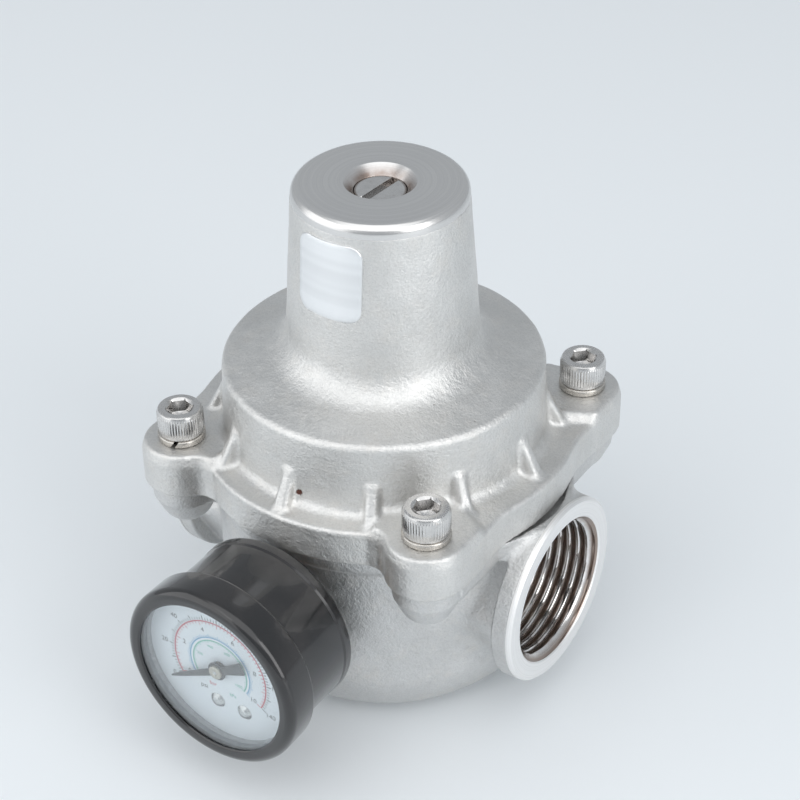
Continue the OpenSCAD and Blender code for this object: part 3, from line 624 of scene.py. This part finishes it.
def bright_steel(name, colour=(0.66, 0.65, 0.64), roughness=0.2, streak=(1, 1, 0.15)):
    """Cold-formed or ground steel: fine streaks, slight stains and small dents."""
    f = Finish(name, colour, 1.0, roughness)
    f.tint(f.remap(f.noise(1.6, 4), 0.4, 0.72, 0, 0.4), tuple(c * 0.72 for c in colour))
    f.tint(f.remap(f.noise(0.9, 5, 0.7), 0.58, 0.8, 0, 0.5), (0.36, 0.29, 0.24))
    lines = f.noise(0.22, 2, place=f.scale_place(*streak))
    f.rough(lines, 0.3, 0.75, roughness - 0.05, roughness + 0.14)
    f.relief(lines, 0.004)
    f.relief(f.noise(2.4, 3), 0.01)
    return f.made


def brass(name):
    f = Finish(name, (0.70, 0.50, 0.22), 1.0, 0.24)
    f.tint(f.remap(f.noise(1.8, 5), 0.45, 0.75, 0, 0.6), (0.48, 0.33, 0.16))
    f.rough(f.noise(0.5, 3), 0.3, 0.7, 0.18, 0.36)
    f.relief(f.noise(0.18, 2, place=f.scale_place(1, 0.2, 1)), 0.003)
    return f.made


def copper(name):
    f = Finish(name, (0.72, 0.36, 0.22), 1.0, 0.32)
    f.tint(f.remap(f.noise(1.2, 4), 0.4, 0.7, 0, 0.7), (0.42, 0.20, 0.13))
    f.relief(f.noise(0.3, 2), 0.004)
    return f.made


def rubber(name, colour=(0.022, 0.022, 0.024), roughness=0.62):
    f = Finish(name, colour, 0.0, roughness)
    f.tint(f.remap(f.noise(1.1, 5, 0.7), 0.5, 0.8, 0, 0.6), tuple(c * 2.4 + 0.01 for c in colour))
    f.rough(f.noise(0.8, 3), 0.3, 0.7, roughness - 0.08, roughness + 0.1)
    f.relief(f.noise(0.25, 2), 0.008)
    return f.made


def black_paint(name):
    """Stoved black paint on pressed steel: slight orange peel, dust and fine rubs."""
    f = Finish(name, (0.009, 0.009, 0.010), 0.0, 0.20, coat_weight=0.6, coat_roughness=0.05)
    f.tint(f.remap(f.noise(9, 4), 0.4, 0.7, 0, 0.6), (0.030, 0.027, 0.027))
    f.tint(f.remap(f.noise(0.35, 3, 0.7), 0.70, 0.78, 0, 0.35), (0.30, 0.30, 0.31))
    f.rough(f.noise(4, 5, 0.65), 0.35, 0.7, 0.15, 0.27)
    f.relief(f.noise(1.1, 2), 0.004)
    return f.made


def dial_paint(name):
    f = Finish(name, (0.90, 0.92, 0.95), 0.0, 0.35)
    f.tint(f.remap(f.noise(6, 4), 0.4, 0.7, 0, 0.5), (0.86, 0.89, 0.94))
    f.relief(f.noise(0.2, 2), 0.001)
    return f.made


def ink(name, colour):
    f = Finish(name, colour, 0.0, 0.45)
    f.tint(f.remap(f.noise(0.25, 3, 0.7), 0.5, 0.8, 0, 0.3), tuple(c * 0.7 + 0.15 for c in colour))
    return f.made


def pointer_paint(name):
    f = Finish(name, (0.030, 0.030, 0.034), 0.0, 0.4)
    f.tint(f.remap(f.noise(1.4, 4), 0.45, 0.75, 0, 0.6), (0.065, 0.065, 0.07))
    f.relief(f.noise(0.2, 2), 0.002)
    return f.made


def clear_lens(name):
    """Clear plastic: a see-through sheet that keeps its gloss."""
    made = bpy.data.materials.new(name)
    made.use_nodes = True
    tree = made.node_tree
    tree.nodes.remove(tree.nodes["Principled BSDF"])
    place = add_node(tree, "ShaderNodeTexCoord").outputs["Object"]
    smear = add_node(tree, "ShaderNodeTexNoise", {"Vector": place, "Scale": 1 / (5 * MM)})
    wave = add_node(tree, "ShaderNodeBump", {"Height": smear.outputs["Fac"], "Distance": 0.004 * MM})
    gloss = add_node(tree, "ShaderNodeBsdfGlossy", {"Roughness": 0.04, "Normal": wave.outputs["Normal"]})
    clear = add_node(tree, "ShaderNodeBsdfTransparent", {"Color": (0.96, 0.98, 0.985, 1)})
    facing = add_node(tree, "ShaderNodeLayerWeight").outputs["Facing"]
    gain = add_node(tree, "ShaderNodeMapRange", {"Value": facing, "To Min": 0.03, "To Max": 0.35})
    mix = add_node(tree, "ShaderNodeMixShader", {0: gain.outputs["Result"], 1: clear.outputs["BSDF"],
                                                 2: gloss.outputs["BSDF"]})
    tree.links.new(mix.outputs["Shader"], tree.nodes["Material Output"].inputs["Surface"])
    return made


BODY_STEEL = cast_steel("cast_steel_body", (0.71, 0.71, 0.705), 0.5, 0.13)
BONNET_STEEL = cast_steel("cast_steel_bonnet", pit_at=BONNET_PIT)
# the brown tint round the bore of the top face is painted shade in the adjusting screw's chamfered recess
TOP_FACE_STEEL = turned_steel("turned_face_top", Z, (0, 0, 0), spin=0.7, painted_shade_r=BORE_R + 2)
PORT_STEEL = turned_steel("turned_face_port", X, (0, 0, PORT_Z * MM), 0.22, 0.42, (0.94, 0.93, 0.92))
THREAD_STEEL = threaded_steel("cut_thread", THREAD_CREST_R, THREAD_CREST_R + THREAD_DEPTH)
STEM_STEEL = turned_steel("turned_stem_parts", Z, (0, 0, 0), 0.3, 0.26)
SCREW_STEEL = bright_steel("screw_steel")
WASHER_STEEL = bright_steel("washer_steel", (0.58, 0.55, 0.51), 0.24)
SPRING_STEEL = bright_steel("spring_steel", (0.36, 0.38, 0.40), 0.3)
POLISHED_STEEL = turned_steel("polished_pad_steel", Z, (0, 0, 0), 0.3, 0.3, (0.86, 0.87, 0.88))
BRASS = brass("brass")
COPPER = copper("copper")
RUBBER = rubber("black_rubber")
GASKET = rubber("grey_gasket", (0.21, 0.22, 0.235), 0.5)
PAINT = black_paint("black_paint")
DIAL_WHITE = dial_paint("dial_white")
POINTER_PAINT = pointer_paint("pointer_paint")
HUB_METAL = bright_steel("pointer_hub_metal", (0.62, 0.56, 0.47), 0.28)
INKS = {"black": ink("ink_black", (0.015, 0.015, 0.02)), "red": ink("ink_red", (0.60, 0.05, 0.09)),
        "blue": ink("ink_blue", (0.10, 0.36, 0.62)), "green": ink("ink_green", (0.12, 0.50, 0.38))}
LENS = clear_lens("clear_lens")


# ---------- the two castings ----------

def bonnet():
    reach, edge = BULGE_X + 1, DISC_R + 1
    piece = cast("bonnet_casting", bonnet_field, (-reach, -edge, JOINT - 1), (reach, edge, TOP), 0.45)
    return finished(piece, BONNET_STEEL, ["bonnet"])


def valve_body():
    reach, edge = PORT_X + 1, LUG_EDGE + 1
    piece = cast("valve_body_casting", body_field, (-reach, -edge, -1), (reach, edge, BODY_TOP + 1), 0.5)
    return finished(piece, BODY_STEEL, ["valve_body"])


def top_face():
    """Machined face on the tower with its polished edge and the adjusting screw's bore."""
    low = TOP - FACE_STEP - 0.1
    tower_r = TOWER_R - (low - TOWER_Z) * math.tan(TOWER_TAPER)
    bore_low, sleeve_r, chamfer = 104, BORE_R + 0.85, 2.1
    outline = rounded([(tower_r, low, 0), (tower_r - 0.2, TOP, 2.4), (BORE_R + chamfer, TOP, 0.3),
                       (BORE_R, TOP - chamfer, 0.3), (BORE_R, bore_low, 0), (sleeve_r, bore_low, 0),
                       (sleeve_r, low, 0)], 6)
    return made_of("bonnet_top_face", [lathe(outline, 160)], TOP_FACE_STEEL, ["bonnet"])


def tower_pad():
    """Plain raised pad on the gauge side of the tower, following its cone."""
    half_width, half_height, corner, middle_z, proud, sunk = 7.6, 8.6, 3, 103.6, 0.45, 0.4
    outline = rounded([(-half_width, -half_height, corner), (half_width, -half_height, corner),
                       (half_width, half_height, corner), (-half_width, half_height, corner)], 8)
    border = []
    for start, end in zip(outline, outline[1:] + outline[:1]):
        pieces = max(1, int(np.linalg.norm(end - start) / 0.7))
        border += [start + (end - start) * k / pieces for k in range(pieces)]

    def level(scale, height):
        loop = []
        for u, v in border:
            z = middle_z + v * scale
            radius = TOWER_R - (z - TOWER_Z) * math.tan(TOWER_TAPER)
            angle = -math.pi / 2 + u * scale / radius
            loop.append(((radius + height) * math.cos(angle), (radius + height) * math.sin(angle), z))
        return loop
    loops = [level(k / 8, -sunk) for k in range(1, 9)] + [level(1, proud - 0.14), level(0.992, proud - 0.04)]
    loops += [level(0.98, proud)] + [level(k / 8, proud) for k in range(7, 0, -1)]
    return made_of("tower_pad", [skinned_loops(loops, False)], POLISHED_STEEL,
                   ["bonnet"])


def port_thread(side):
    """G1 thread of one port with the chamfer through its first turns."""
    sides, rows_per_pitch, mouth_x = 160, 12, PORT_X - 0.3
    angles = np.arange(sides) * TURN / sides
    steps = int((mouth_x - THREAD_END_X) / THREAD_PITCH * rows_per_pitch)
    loops = []
    for k in range(steps + 1):
        x = THREAD_END_X + (mouth_x - THREAD_END_X) * k / steps
        phase = (x / THREAD_PITCH + angles / TURN) % 1
        groove = np.clip(2.5 * np.abs(phase - 0.5) - 0.25, 0, 1)
        groove = groove * groove * (3 - 2 * groove)
        fade = min(1, (x - THREAD_END_X) / THREAD_PITCH)
        radius = THREAD_CREST_R + THREAD_DEPTH * groove * fade
        loops.append((np.maximum(radius, MOUTH_R - (PORT_X - x)), x))
    loops += [(THREAD_WALL_R, mouth_x), (THREAD_WALL_R, THREAD_END_X)]
    return made_of(side + "_port_thread", [moved(lathe(loops, sides), PORTS[side])], THREAD_STEEL,
                   ["valve_body"], crease=40)


def port_face(side):
    """Turned face of one port with its crisp outer chamfer."""
    ring_low, chamfer = PORT_X - 1.12, 0.6
    outline = rounded([(MOUTH_R - 0.3, PORT_X - 0.3, 0), (MOUTH_R, PORT_X, 0.06),
                       (PORT_RING_R - chamfer, PORT_X, 0.1), (PORT_RING_R, PORT_X - chamfer, 0.1),
                       (PORT_RING_R, ring_low, 0), (MOUTH_R - 0.3, ring_low, 0)], 4)
    return made_of(side + "_port_face", [moved(lathe(outline, 160), PORTS[side])], PORT_STEEL,
                   ["valve_body"], crease=30)


# ---------- fasteners ----------

def cap_screw(at):
    """Socket head cap screw with its knurl, hexagon socket and threaded shank."""
    sides, flutes, depth = 240, 48, 0.16
    angles = np.arange(sides) * TURN / sides
    flute = (angles * flutes / TURN) % 1
    knurl = HEAD_R - depth * np.clip(2.6 * np.abs(flute - 0.5) - 0.15, 0, 1)
    hex_angle = (angles + TURN / 24) % (TURN / 6) - TURN / 12
    key_apothem = 2.5
    socket = key_apothem / np.cos(hex_angle)
    low, shank_r, thread_depth, pitch = WASHER_TOP, 2.95, 0.5, 1.0
    plain = HEAD_R - 0.2
    loops = [(shank_r - thread_depth, SCREW_LOW), (shank_r, SCREW_LOW + 0.5)]
    thread_rows = int((low - 1.5 - SCREW_LOW - 0.5) / pitch * 6)
    for k in range(1, thread_rows + 1):
        z = SCREW_LOW + 0.5 + (low - 2 - SCREW_LOW) * k / thread_rows
        phase = (z / pitch - angles / TURN) % 1
        loops.append((shank_r - thread_depth * np.clip(2.4 * np.abs(phase - 0.5) - 0.2, 0, 1), z))
    half_knurl, top = (knurl + plain) * 0.5, HEAD_TOP
    loops += [(shank_r, low - 0.4), (shank_r, low), (plain - 0.25, low), (plain, low + 0.2),
              (plain, low + 0.75), (half_knurl, low + 0.95), (knurl, low + 1.15), (knurl, top - 1.25),
              (half_knurl, top - 1.05), (plain, top - 0.9), (plain - 0.05, top - 0.6),
              (plain - 0.22, top - 0.25), (plain - 0.5, top - 0.05), (plain - 0.75, top),
              (3.15, top), (3.0, top - 0.1), (np.minimum(socket, 2.92), top - 0.45),
              (socket, top - 0.75), (socket, top - 3.1), (2.2, top - 3.3), (0.2, top - 4.1)]
    return lathe(loops, sides, ring=False, at=at)


def cap_screws():
    return made_of("cap_screws_detailed", [cap_screw(at) for at in SCREW_PLACES], SCREW_STEEL,
                   ["cap_screws"], crease=28)


def spring_washer(at, split_angle):
    """Flattened spring lock washer with its slanted split."""
    steps, gap, slant, height = 90, 11, 12, WASHER_TOP - PAD_TOP
    inner, outer, gap_z = 3.25, 5.1, 0.04
    section = rounded([(inner, gap_z, 0.25), (outer, gap_z, 0.35), (outer, height - gap_z, 0.4),
                       (inner, height - gap_z, 0.25)], 4)
    count, points, faces = len(section), [], []
    for k in range(steps + 1):
        for r, z in section:
            lean = slant * (z / height - 0.5)
            angle = math.radians(split_angle + gap / 2 + (360 - gap) * k / steps + lean)
            points.append((at[0] + r * math.cos(angle), at[1] + r * math.sin(angle), PAD_TOP + z))
    for k in range(steps):
        near, far = k * count, (k + 1) * count
        faces += [[near + i, near + (i + 1) % count, far + (i + 1) % count, far + i] for i in range(count)]
    faces += [list(range(count)), [steps * count + i for i in range(count)]]
    return points, faces


def spring_washers():
    splits = (-70, 150, 40, 100)
    parts = [spring_washer(at, split) for at, split in zip(SCREW_PLACES, splits)]
    return made_of("spring_washers_split", parts, WASHER_STEEL, ["spring_washers"])


def adjusting_screw():
    edge = SCREW_R + 0.5
    piece = cast("adjusting_screw_slotted", adjusting_screw_field, (-edge, -edge, SCREW_TIP - 0.5),
                 (edge, edge, SCREW_FACE + 0.5), 0.13, 120000, skin=False)
    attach(piece, "adjusting_screw")
    return finished(piece, SCREW_STEEL, ["adjusting_screw"])


# ---------- gauge ----------

def gauge_case():
    back, wall, lip, hole_r = CASE_BACK, 0.8, 0.35, 4.5
    outline = rounded([(hole_r, back + 0.35, 0), (CASE_R - 2.2, back + 0.35, 0.4), (CASE_R - 1.6, back, 0.3),
                       (CASE_R, back, 0.9), (CASE_R, back + 2.4, 0.3), (CASE_R - lip / 2, back + 3, 0.3),
                       (CASE_R - lip / 2, CASE_FRONT, 0), (CASE_R - wall, CASE_FRONT, 0),
                       (CASE_R - wall, back + 1.2, 0.5), (hole_r, back + 1.2, 0)], 5)
    return made_of("gauge_case_pressed", [moved(lathe(outline, 144), GAUGE)], PAINT,
                   ["gauge_case"])


def gauge_bezel():
    inner = CASE_R + 0.1
    outline = rounded([(inner, BEZEL_BACK, 0.15), (BEZEL_R - 0.15, BEZEL_BACK, 0.9),
                       (BEZEL_R, BEZEL_FRONT, 1.9), (GLASS_R + 0.55, BEZEL_FRONT - 0.25, 0.45),
                       (GLASS_R, LENS_FRONT + 0.02, 0.1), (inner, LENS_FRONT + 0.02, 0)], 8)
    return made_of("gauge_bezel_rolled", [moved(lathe(outline, 160), GAUGE)], PAINT,
                   ["gauge_bezel"])


def gauge_lens():
    radius, middle = CASE_R - 0.15, 0.3
    outline = rounded([(middle, LENS_BACK, 0), (radius, LENS_BACK, 0.15), (radius, LENS_FRONT, 0.15),
                       (middle, LENS_FRONT, 0)], 3)
    return made_of("gauge_lens_clear", [moved(lathe(outline, 128, ring=False), GAUGE)], LENS,
                   ["gauge_lens"])


def lens_gasket():
    """Grey seal ring between the dial and the lens, with a soft inner lip."""
    inner, outer, low, middle = GLASS_R + 0.3, CASE_R - 0.12, DIAL_FRONT + 0.01, (DIAL_FRONT + LENS_BACK) / 2
    outline = rounded([(outer, low, 0), (outer, LENS_BACK, 0), (inner, LENS_BACK, 0.3),
                       (inner, middle + 0.3, 0.2), (GLASS_R + 0.75, middle, 0.2),
                       (inner, DIAL_FRONT + 0.9, 0.2), (inner, low, 0.2)], 4)
    return made_of("lens_gasket_ring", [moved(lathe(outline, 128), GAUGE)], GASKET,
                   ["lens_gasket"])


def gauge_dial():
    hole_r, edge_r = 1.6, CASE_R - 0.1
    outline = rounded([(hole_r, DIAL_BACK, 0), (edge_r, DIAL_BACK, 0), (edge_r, DIAL_FRONT, 0.2),
                       (hole_r, DIAL_FRONT, 0.15)], 4)
    return made_of("gauge_dial_plate", [moved(lathe(outline, 128), GAUGE)], DIAL_WHITE,
                   ["gauge_dial"])


PRINT_LOW = DIAL_FRONT + 0.004
PRINT_HIGH = DIAL_FRONT + 0.02


def scale_angle(share):
    """Direction of a point of the scale, from 0 at its start to 1 at its end, in degrees."""
    return ZERO_ANGLE - SWEEP * share


def tick(share, radius_in, radius_out, width):
    half = math.degrees(width / 2 / ((radius_in + radius_out) / 2))
    middle = scale_angle(share)
    return band(radius_in, radius_out, middle - half, middle + half, PRINT_LOW, PRINT_HIGH, 1)


def lettering(text, size, middle, colour_parts):
    """Adds flat figures centred on a point of the dial to a list of parts."""
    curve = bpy.data.curves.new("figures", "FONT")
    curve.body, curve.size = text, size
    curve.align_x, curve.align_y = "CENTER", "CENTER"
    curve.extrude = (PRINT_HIGH - PRINT_LOW) / 2
    curve.resolution_u = 3
    holder = bpy.data.objects.new("figures", curve)
    bpy.context.scene.collection.objects.link(holder)
    mesh = bpy.data.meshes.new_from_object(holder.evaluated_get(bpy.context.evaluated_depsgraph_get()))
    height = (PRINT_HIGH + PRINT_LOW) / 2
    points = [(v.co.x + middle[0], v.co.y + middle[1], v.co.z + height) for v in mesh.vertices]
    colour_parts.append((points, [list(p.vertices) for p in mesh.polygons]))
    bpy.data.objects.remove(holder)
    bpy.data.meshes.remove(mesh)
    bpy.data.curves.remove(curve)


def figure(text, size, share, radius, colour_parts):
    angle = math.radians(scale_angle(share))
    lettering(text, size, (radius * math.cos(angle), radius * math.sin(angle)), colour_parts)


def dial_print():
    """Four scales round the dial, with figures and unit letters only."""
    parts = {colour: [] for colour in INKS}
    arc_steps = 96
    start, end = scale_angle(0), scale_angle(1)
    parts["red"].append(band(11.55, 11.85, start, end, PRINT_LOW, PRINT_HIGH, arc_steps))
    parts["blue"].append(band(7.5, 7.75, start, end, PRINT_LOW, PRINT_HIGH, arc_steps))
    parts["green"].append(band(6.75, 7.0, start, end, PRINT_LOW, PRINT_HIGH, arc_steps))
    bar_ticks, psi_ticks, bar_figures, psi_figures = 50, 70, 5, 7
    for k in range(bar_ticks + 1):
        share, major = k / bar_ticks, k % 5 == 0
        parts["red"].append(tick(share, 10.6 if major else 11.0, 11.55, 0.17))
        parts["green"].append(tick(share, 6.2 if major else 6.45, 6.75, 0.13))
    for k in range(psi_ticks + 1):
        share, major = k / psi_ticks, k % 5 == 0
        parts["black"].append(tick(share, 11.95, 13.1 if major else 12.6, 0.2 if major else 0.16))
        parts["blue"].append(tick(share, 7.75, 8.5 if major else 8.2, 0.13))
    for k in range(bar_figures + 1):
        figure(str(2 * k), 1.7, k / bar_figures, 9.5, parts["black"])
        figure(str(200 * k), 1.0, k / bar_figures, 5.3, parts["green"])
    for k in range(psi_figures + 1):
        figure(str(20 * k), 1.7, k / psi_figures, 14.4, parts["black"])
    lettering("psi", 1.7, (-4.6, -7.0), parts["black"])
    lettering("bar", 1.4, (-2.2, -5.3), parts["red"])
    lettering("kPa", 1.2, (2.9, -6.2), parts["green"])
    for colour, shapes in parts.items():
        made_of("dial_print_" + colour, [moved(part, GAUGE) for part in shapes], INKS[colour],
                ["gauge_dial"])


def dial_screws():
    """Two small domed screws that hold the dial."""
    parts = []
    shank_r, head_r, head_h, steps = 0.95, 1.8, 0.95, 9
    for at in DIAL_SCREWS:
        ball = (head_r ** 2 + head_h ** 2) / (2 * head_h)
        widest = math.asin(head_r / ball)
        loops = [(shank_r, DIAL_BACK - 2.8), (shank_r, DIAL_FRONT), (head_r - 0.05, DIAL_FRONT),
                 (head_r, DIAL_FRONT + 0.08)]
        for k in range(1, steps):
            angle = widest * (1 - k / steps)
            loops.append((ball * math.sin(angle), DIAL_FRONT + head_h - ball * (1 - math.cos(angle))))
        parts.append(moved(lathe(loops, 48, ring=False, at=at), GAUGE))
    return made_of("dial_screws_domed", parts, SCREW_STEEL, ["dial_screws"], crease=50)


def pointer():
    """Tapered pointer with a broad tail and a raised round middle."""
    tip, tail = 14.4, 7.8
    low, high = POINTER_BACK, POINTER_FRONT
    outline = [(tip, 0.0), (tip - 0.3, 0.16), (tip - 3, 0.42), (1.5, 0.85), (-1.5, 0.85), (-2.4, 0.95),
               (-tail + 0.15, 1.42), (-tail, 1.25), (-tail, -1.25), (-tail + 0.15, -1.42), (-2.4, -0.95),
               (-1.5, -0.85), (1.5, -0.85), (tip - 3, -0.42), (tip - 0.3, -0.16)]
    blade = prism(outline, low + 0.02, high - 0.02)
    disc = lathe(rounded([(0.5, low, 0), (2.15, low, 0.1), (2.15, high + 0.03, 0.15),
                          (0.5, high + 0.03, 0)], 4), 64)
    turn = Matrix.Rotation(math.radians(ZERO_ANGLE), 4, "Z")
    return made_of("pointer_needle", [moved(part, GAUGE @ turn) for part in (blade, disc)], POINTER_PAINT,
                   ["pointer"], body="pointer_set")


def pointer_hub():
    bore_r, front = 0.42, HUB_FRONT - 0.02
    outline = rounded([(bore_r, POINTER_FRONT, 0), (1.6, POINTER_FRONT, 0.05), (1.55, front, 0.28),
                       (0.75, front, 0.1), (bore_r, HUB_FRONT - 0.14, 0)], 5)
    return made_of("pointer_hub_turned", [moved(lathe(outline, 64), GAUGE)], HUB_METAL,
                   ["pointer_hub"], body="pointer_set")


def yielding(node, name, finish):
    """A copy of a CAD node's mesh as a piece of its own with a finish, with the CAD node hidden."""
    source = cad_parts[node]
    mesh = source.data.copy()
    mesh.transform(source.matrix_world)
    piece = new_object(name, mesh)
    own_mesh(piece)
    return finished(piece, finish, [node])


def main_spring():
    """The main spring, copied from its CAD node."""
    return yielding("main_spring", "main_spring_coil", SPRING_STEEL)


def diaphragm():
    """The diaphragm sheet, copied from its CAD node."""
    return yielding("diaphragm", "diaphragm_sheet", RUBBER)


# ---------- CAD nodes that keep their shape ----------

KEPT = (
    (SPRING_STEEL, ("return_spring", "hairspring")),
    (RUBBER, ("seat_o_ring", "disc_seal")),
    (STEM_STEEL, ("seat_ring", "stem", "disc_holder", "lower_diaphragm_plate", "upper_diaphragm_plate",
                  "spring_plate", "pinion_arbor")),
    (SCREW_STEEL, ("disc_nut", "stem_nut")),
    (BRASS, ("stem_guide_bush", "gauge_socket", "bourdon_tube", "bourdon_tip", "movement_back_plate",
             "movement_front_plate", "movement_pillars", "sector_gear", "sector_link")),
    (COPPER, ("gauge_seal_washer",)),
)


def finish_kept_nodes():
    for finish, names in KEPT:
        for name in names:
            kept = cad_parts[name]
            kept.data.materials.clear()
            kept.data.materials.append(finish)


# ---------- stage ----------

def floor():
    half = 4
    mesh = bpy.data.meshes.new("floor")
    corners = [(-half, -half, 0), (half, -half, 0), (half, half, 0), (-half, half, 0)]
    mesh.from_pydata(corners, [], [(0, 1, 2, 3)])
    piece = bpy.data.objects.new("floor", mesh)
    bpy.context.scene.collection.objects.link(piece)
    f = Finish("pale_floor", (0.84, 0.87, 0.89), 0.0, 0.45)
    f.tint(f.remap(f.noise(300, 2), 0.3, 0.7, 0, 0.3), (0.86, 0.89, 0.91))
    mesh.materials.append(f.made)


def softbox(name, place, size, power):
    """A rectangular light that points at the middle of the valve."""
    light = bpy.data.lights.new(name, "AREA")
    light.shape, light.size, light.size_y = "RECTANGLE", *size
    light.energy = power
    lamp = bpy.data.objects.new(name, light)
    bpy.context.scene.collection.objects.link(lamp)
    lamp.location = place
    lamp.rotation_euler = (Vector((0, 0, 0.05)) - Vector(place)).to_track_quat("-Z", "Y").to_euler()


def studio():
    world = bpy.data.worlds.new("studio")
    bpy.context.scene.world = world
    world.use_nodes = True
    sky = world.node_tree.nodes["Background"]
    sky.inputs["Color"].default_value = (0.90, 0.95, 1.0, 1)
    sky.inputs["Strength"].default_value = 0.54
    softbox("overhead", (0.35, -0.65, 1.3), (2.0, 1.6), 10)
    softbox("right", (1.0, -0.2, 0.5), (0.6, 0.9), 4)
    softbox("left", (-0.7, -0.9, 0.45), (1.5, 1.2), 6)
    bpy.context.scene.view_settings.view_transform = "Standard"


def camera():
    data = bpy.data.cameras.new("camera")
    data.sensor_width, data.lens = 36, 94.02
    data.clip_start, data.clip_end = 0.02, 20
    viewer = bpy.data.objects.new("camera", data)
    bpy.context.scene.collection.objects.link(viewer)
    turn, tilt, roll = math.radians(34.33), math.radians(54.38), math.radians(-0.907)
    viewer.matrix_world = (Matrix.Translation(Vector((209.292, -300.634, 325.133)) * MM)
                           @ Matrix.Rotation(turn, 4, "Z") @ Matrix.Rotation(tilt, 4, "X")
                           @ Matrix.Rotation(roll, 4, "Z"))
    bpy.context.scene.camera = viewer


camera()
studio()
floor()
bonnet()
valve_body()
top_face()
tower_pad()
for port in PORTS:
    port_thread(port)
    port_face(port)
cap_screws()
spring_washers()
adjusting_screw()
gauge_case()
gauge_bezel()
gauge_lens()
lens_gasket()
gauge_dial()
dial_print()
dial_screws()
pointer()
pointer_hub()
main_spring()
diaphragm()
finish_kept_nodes()
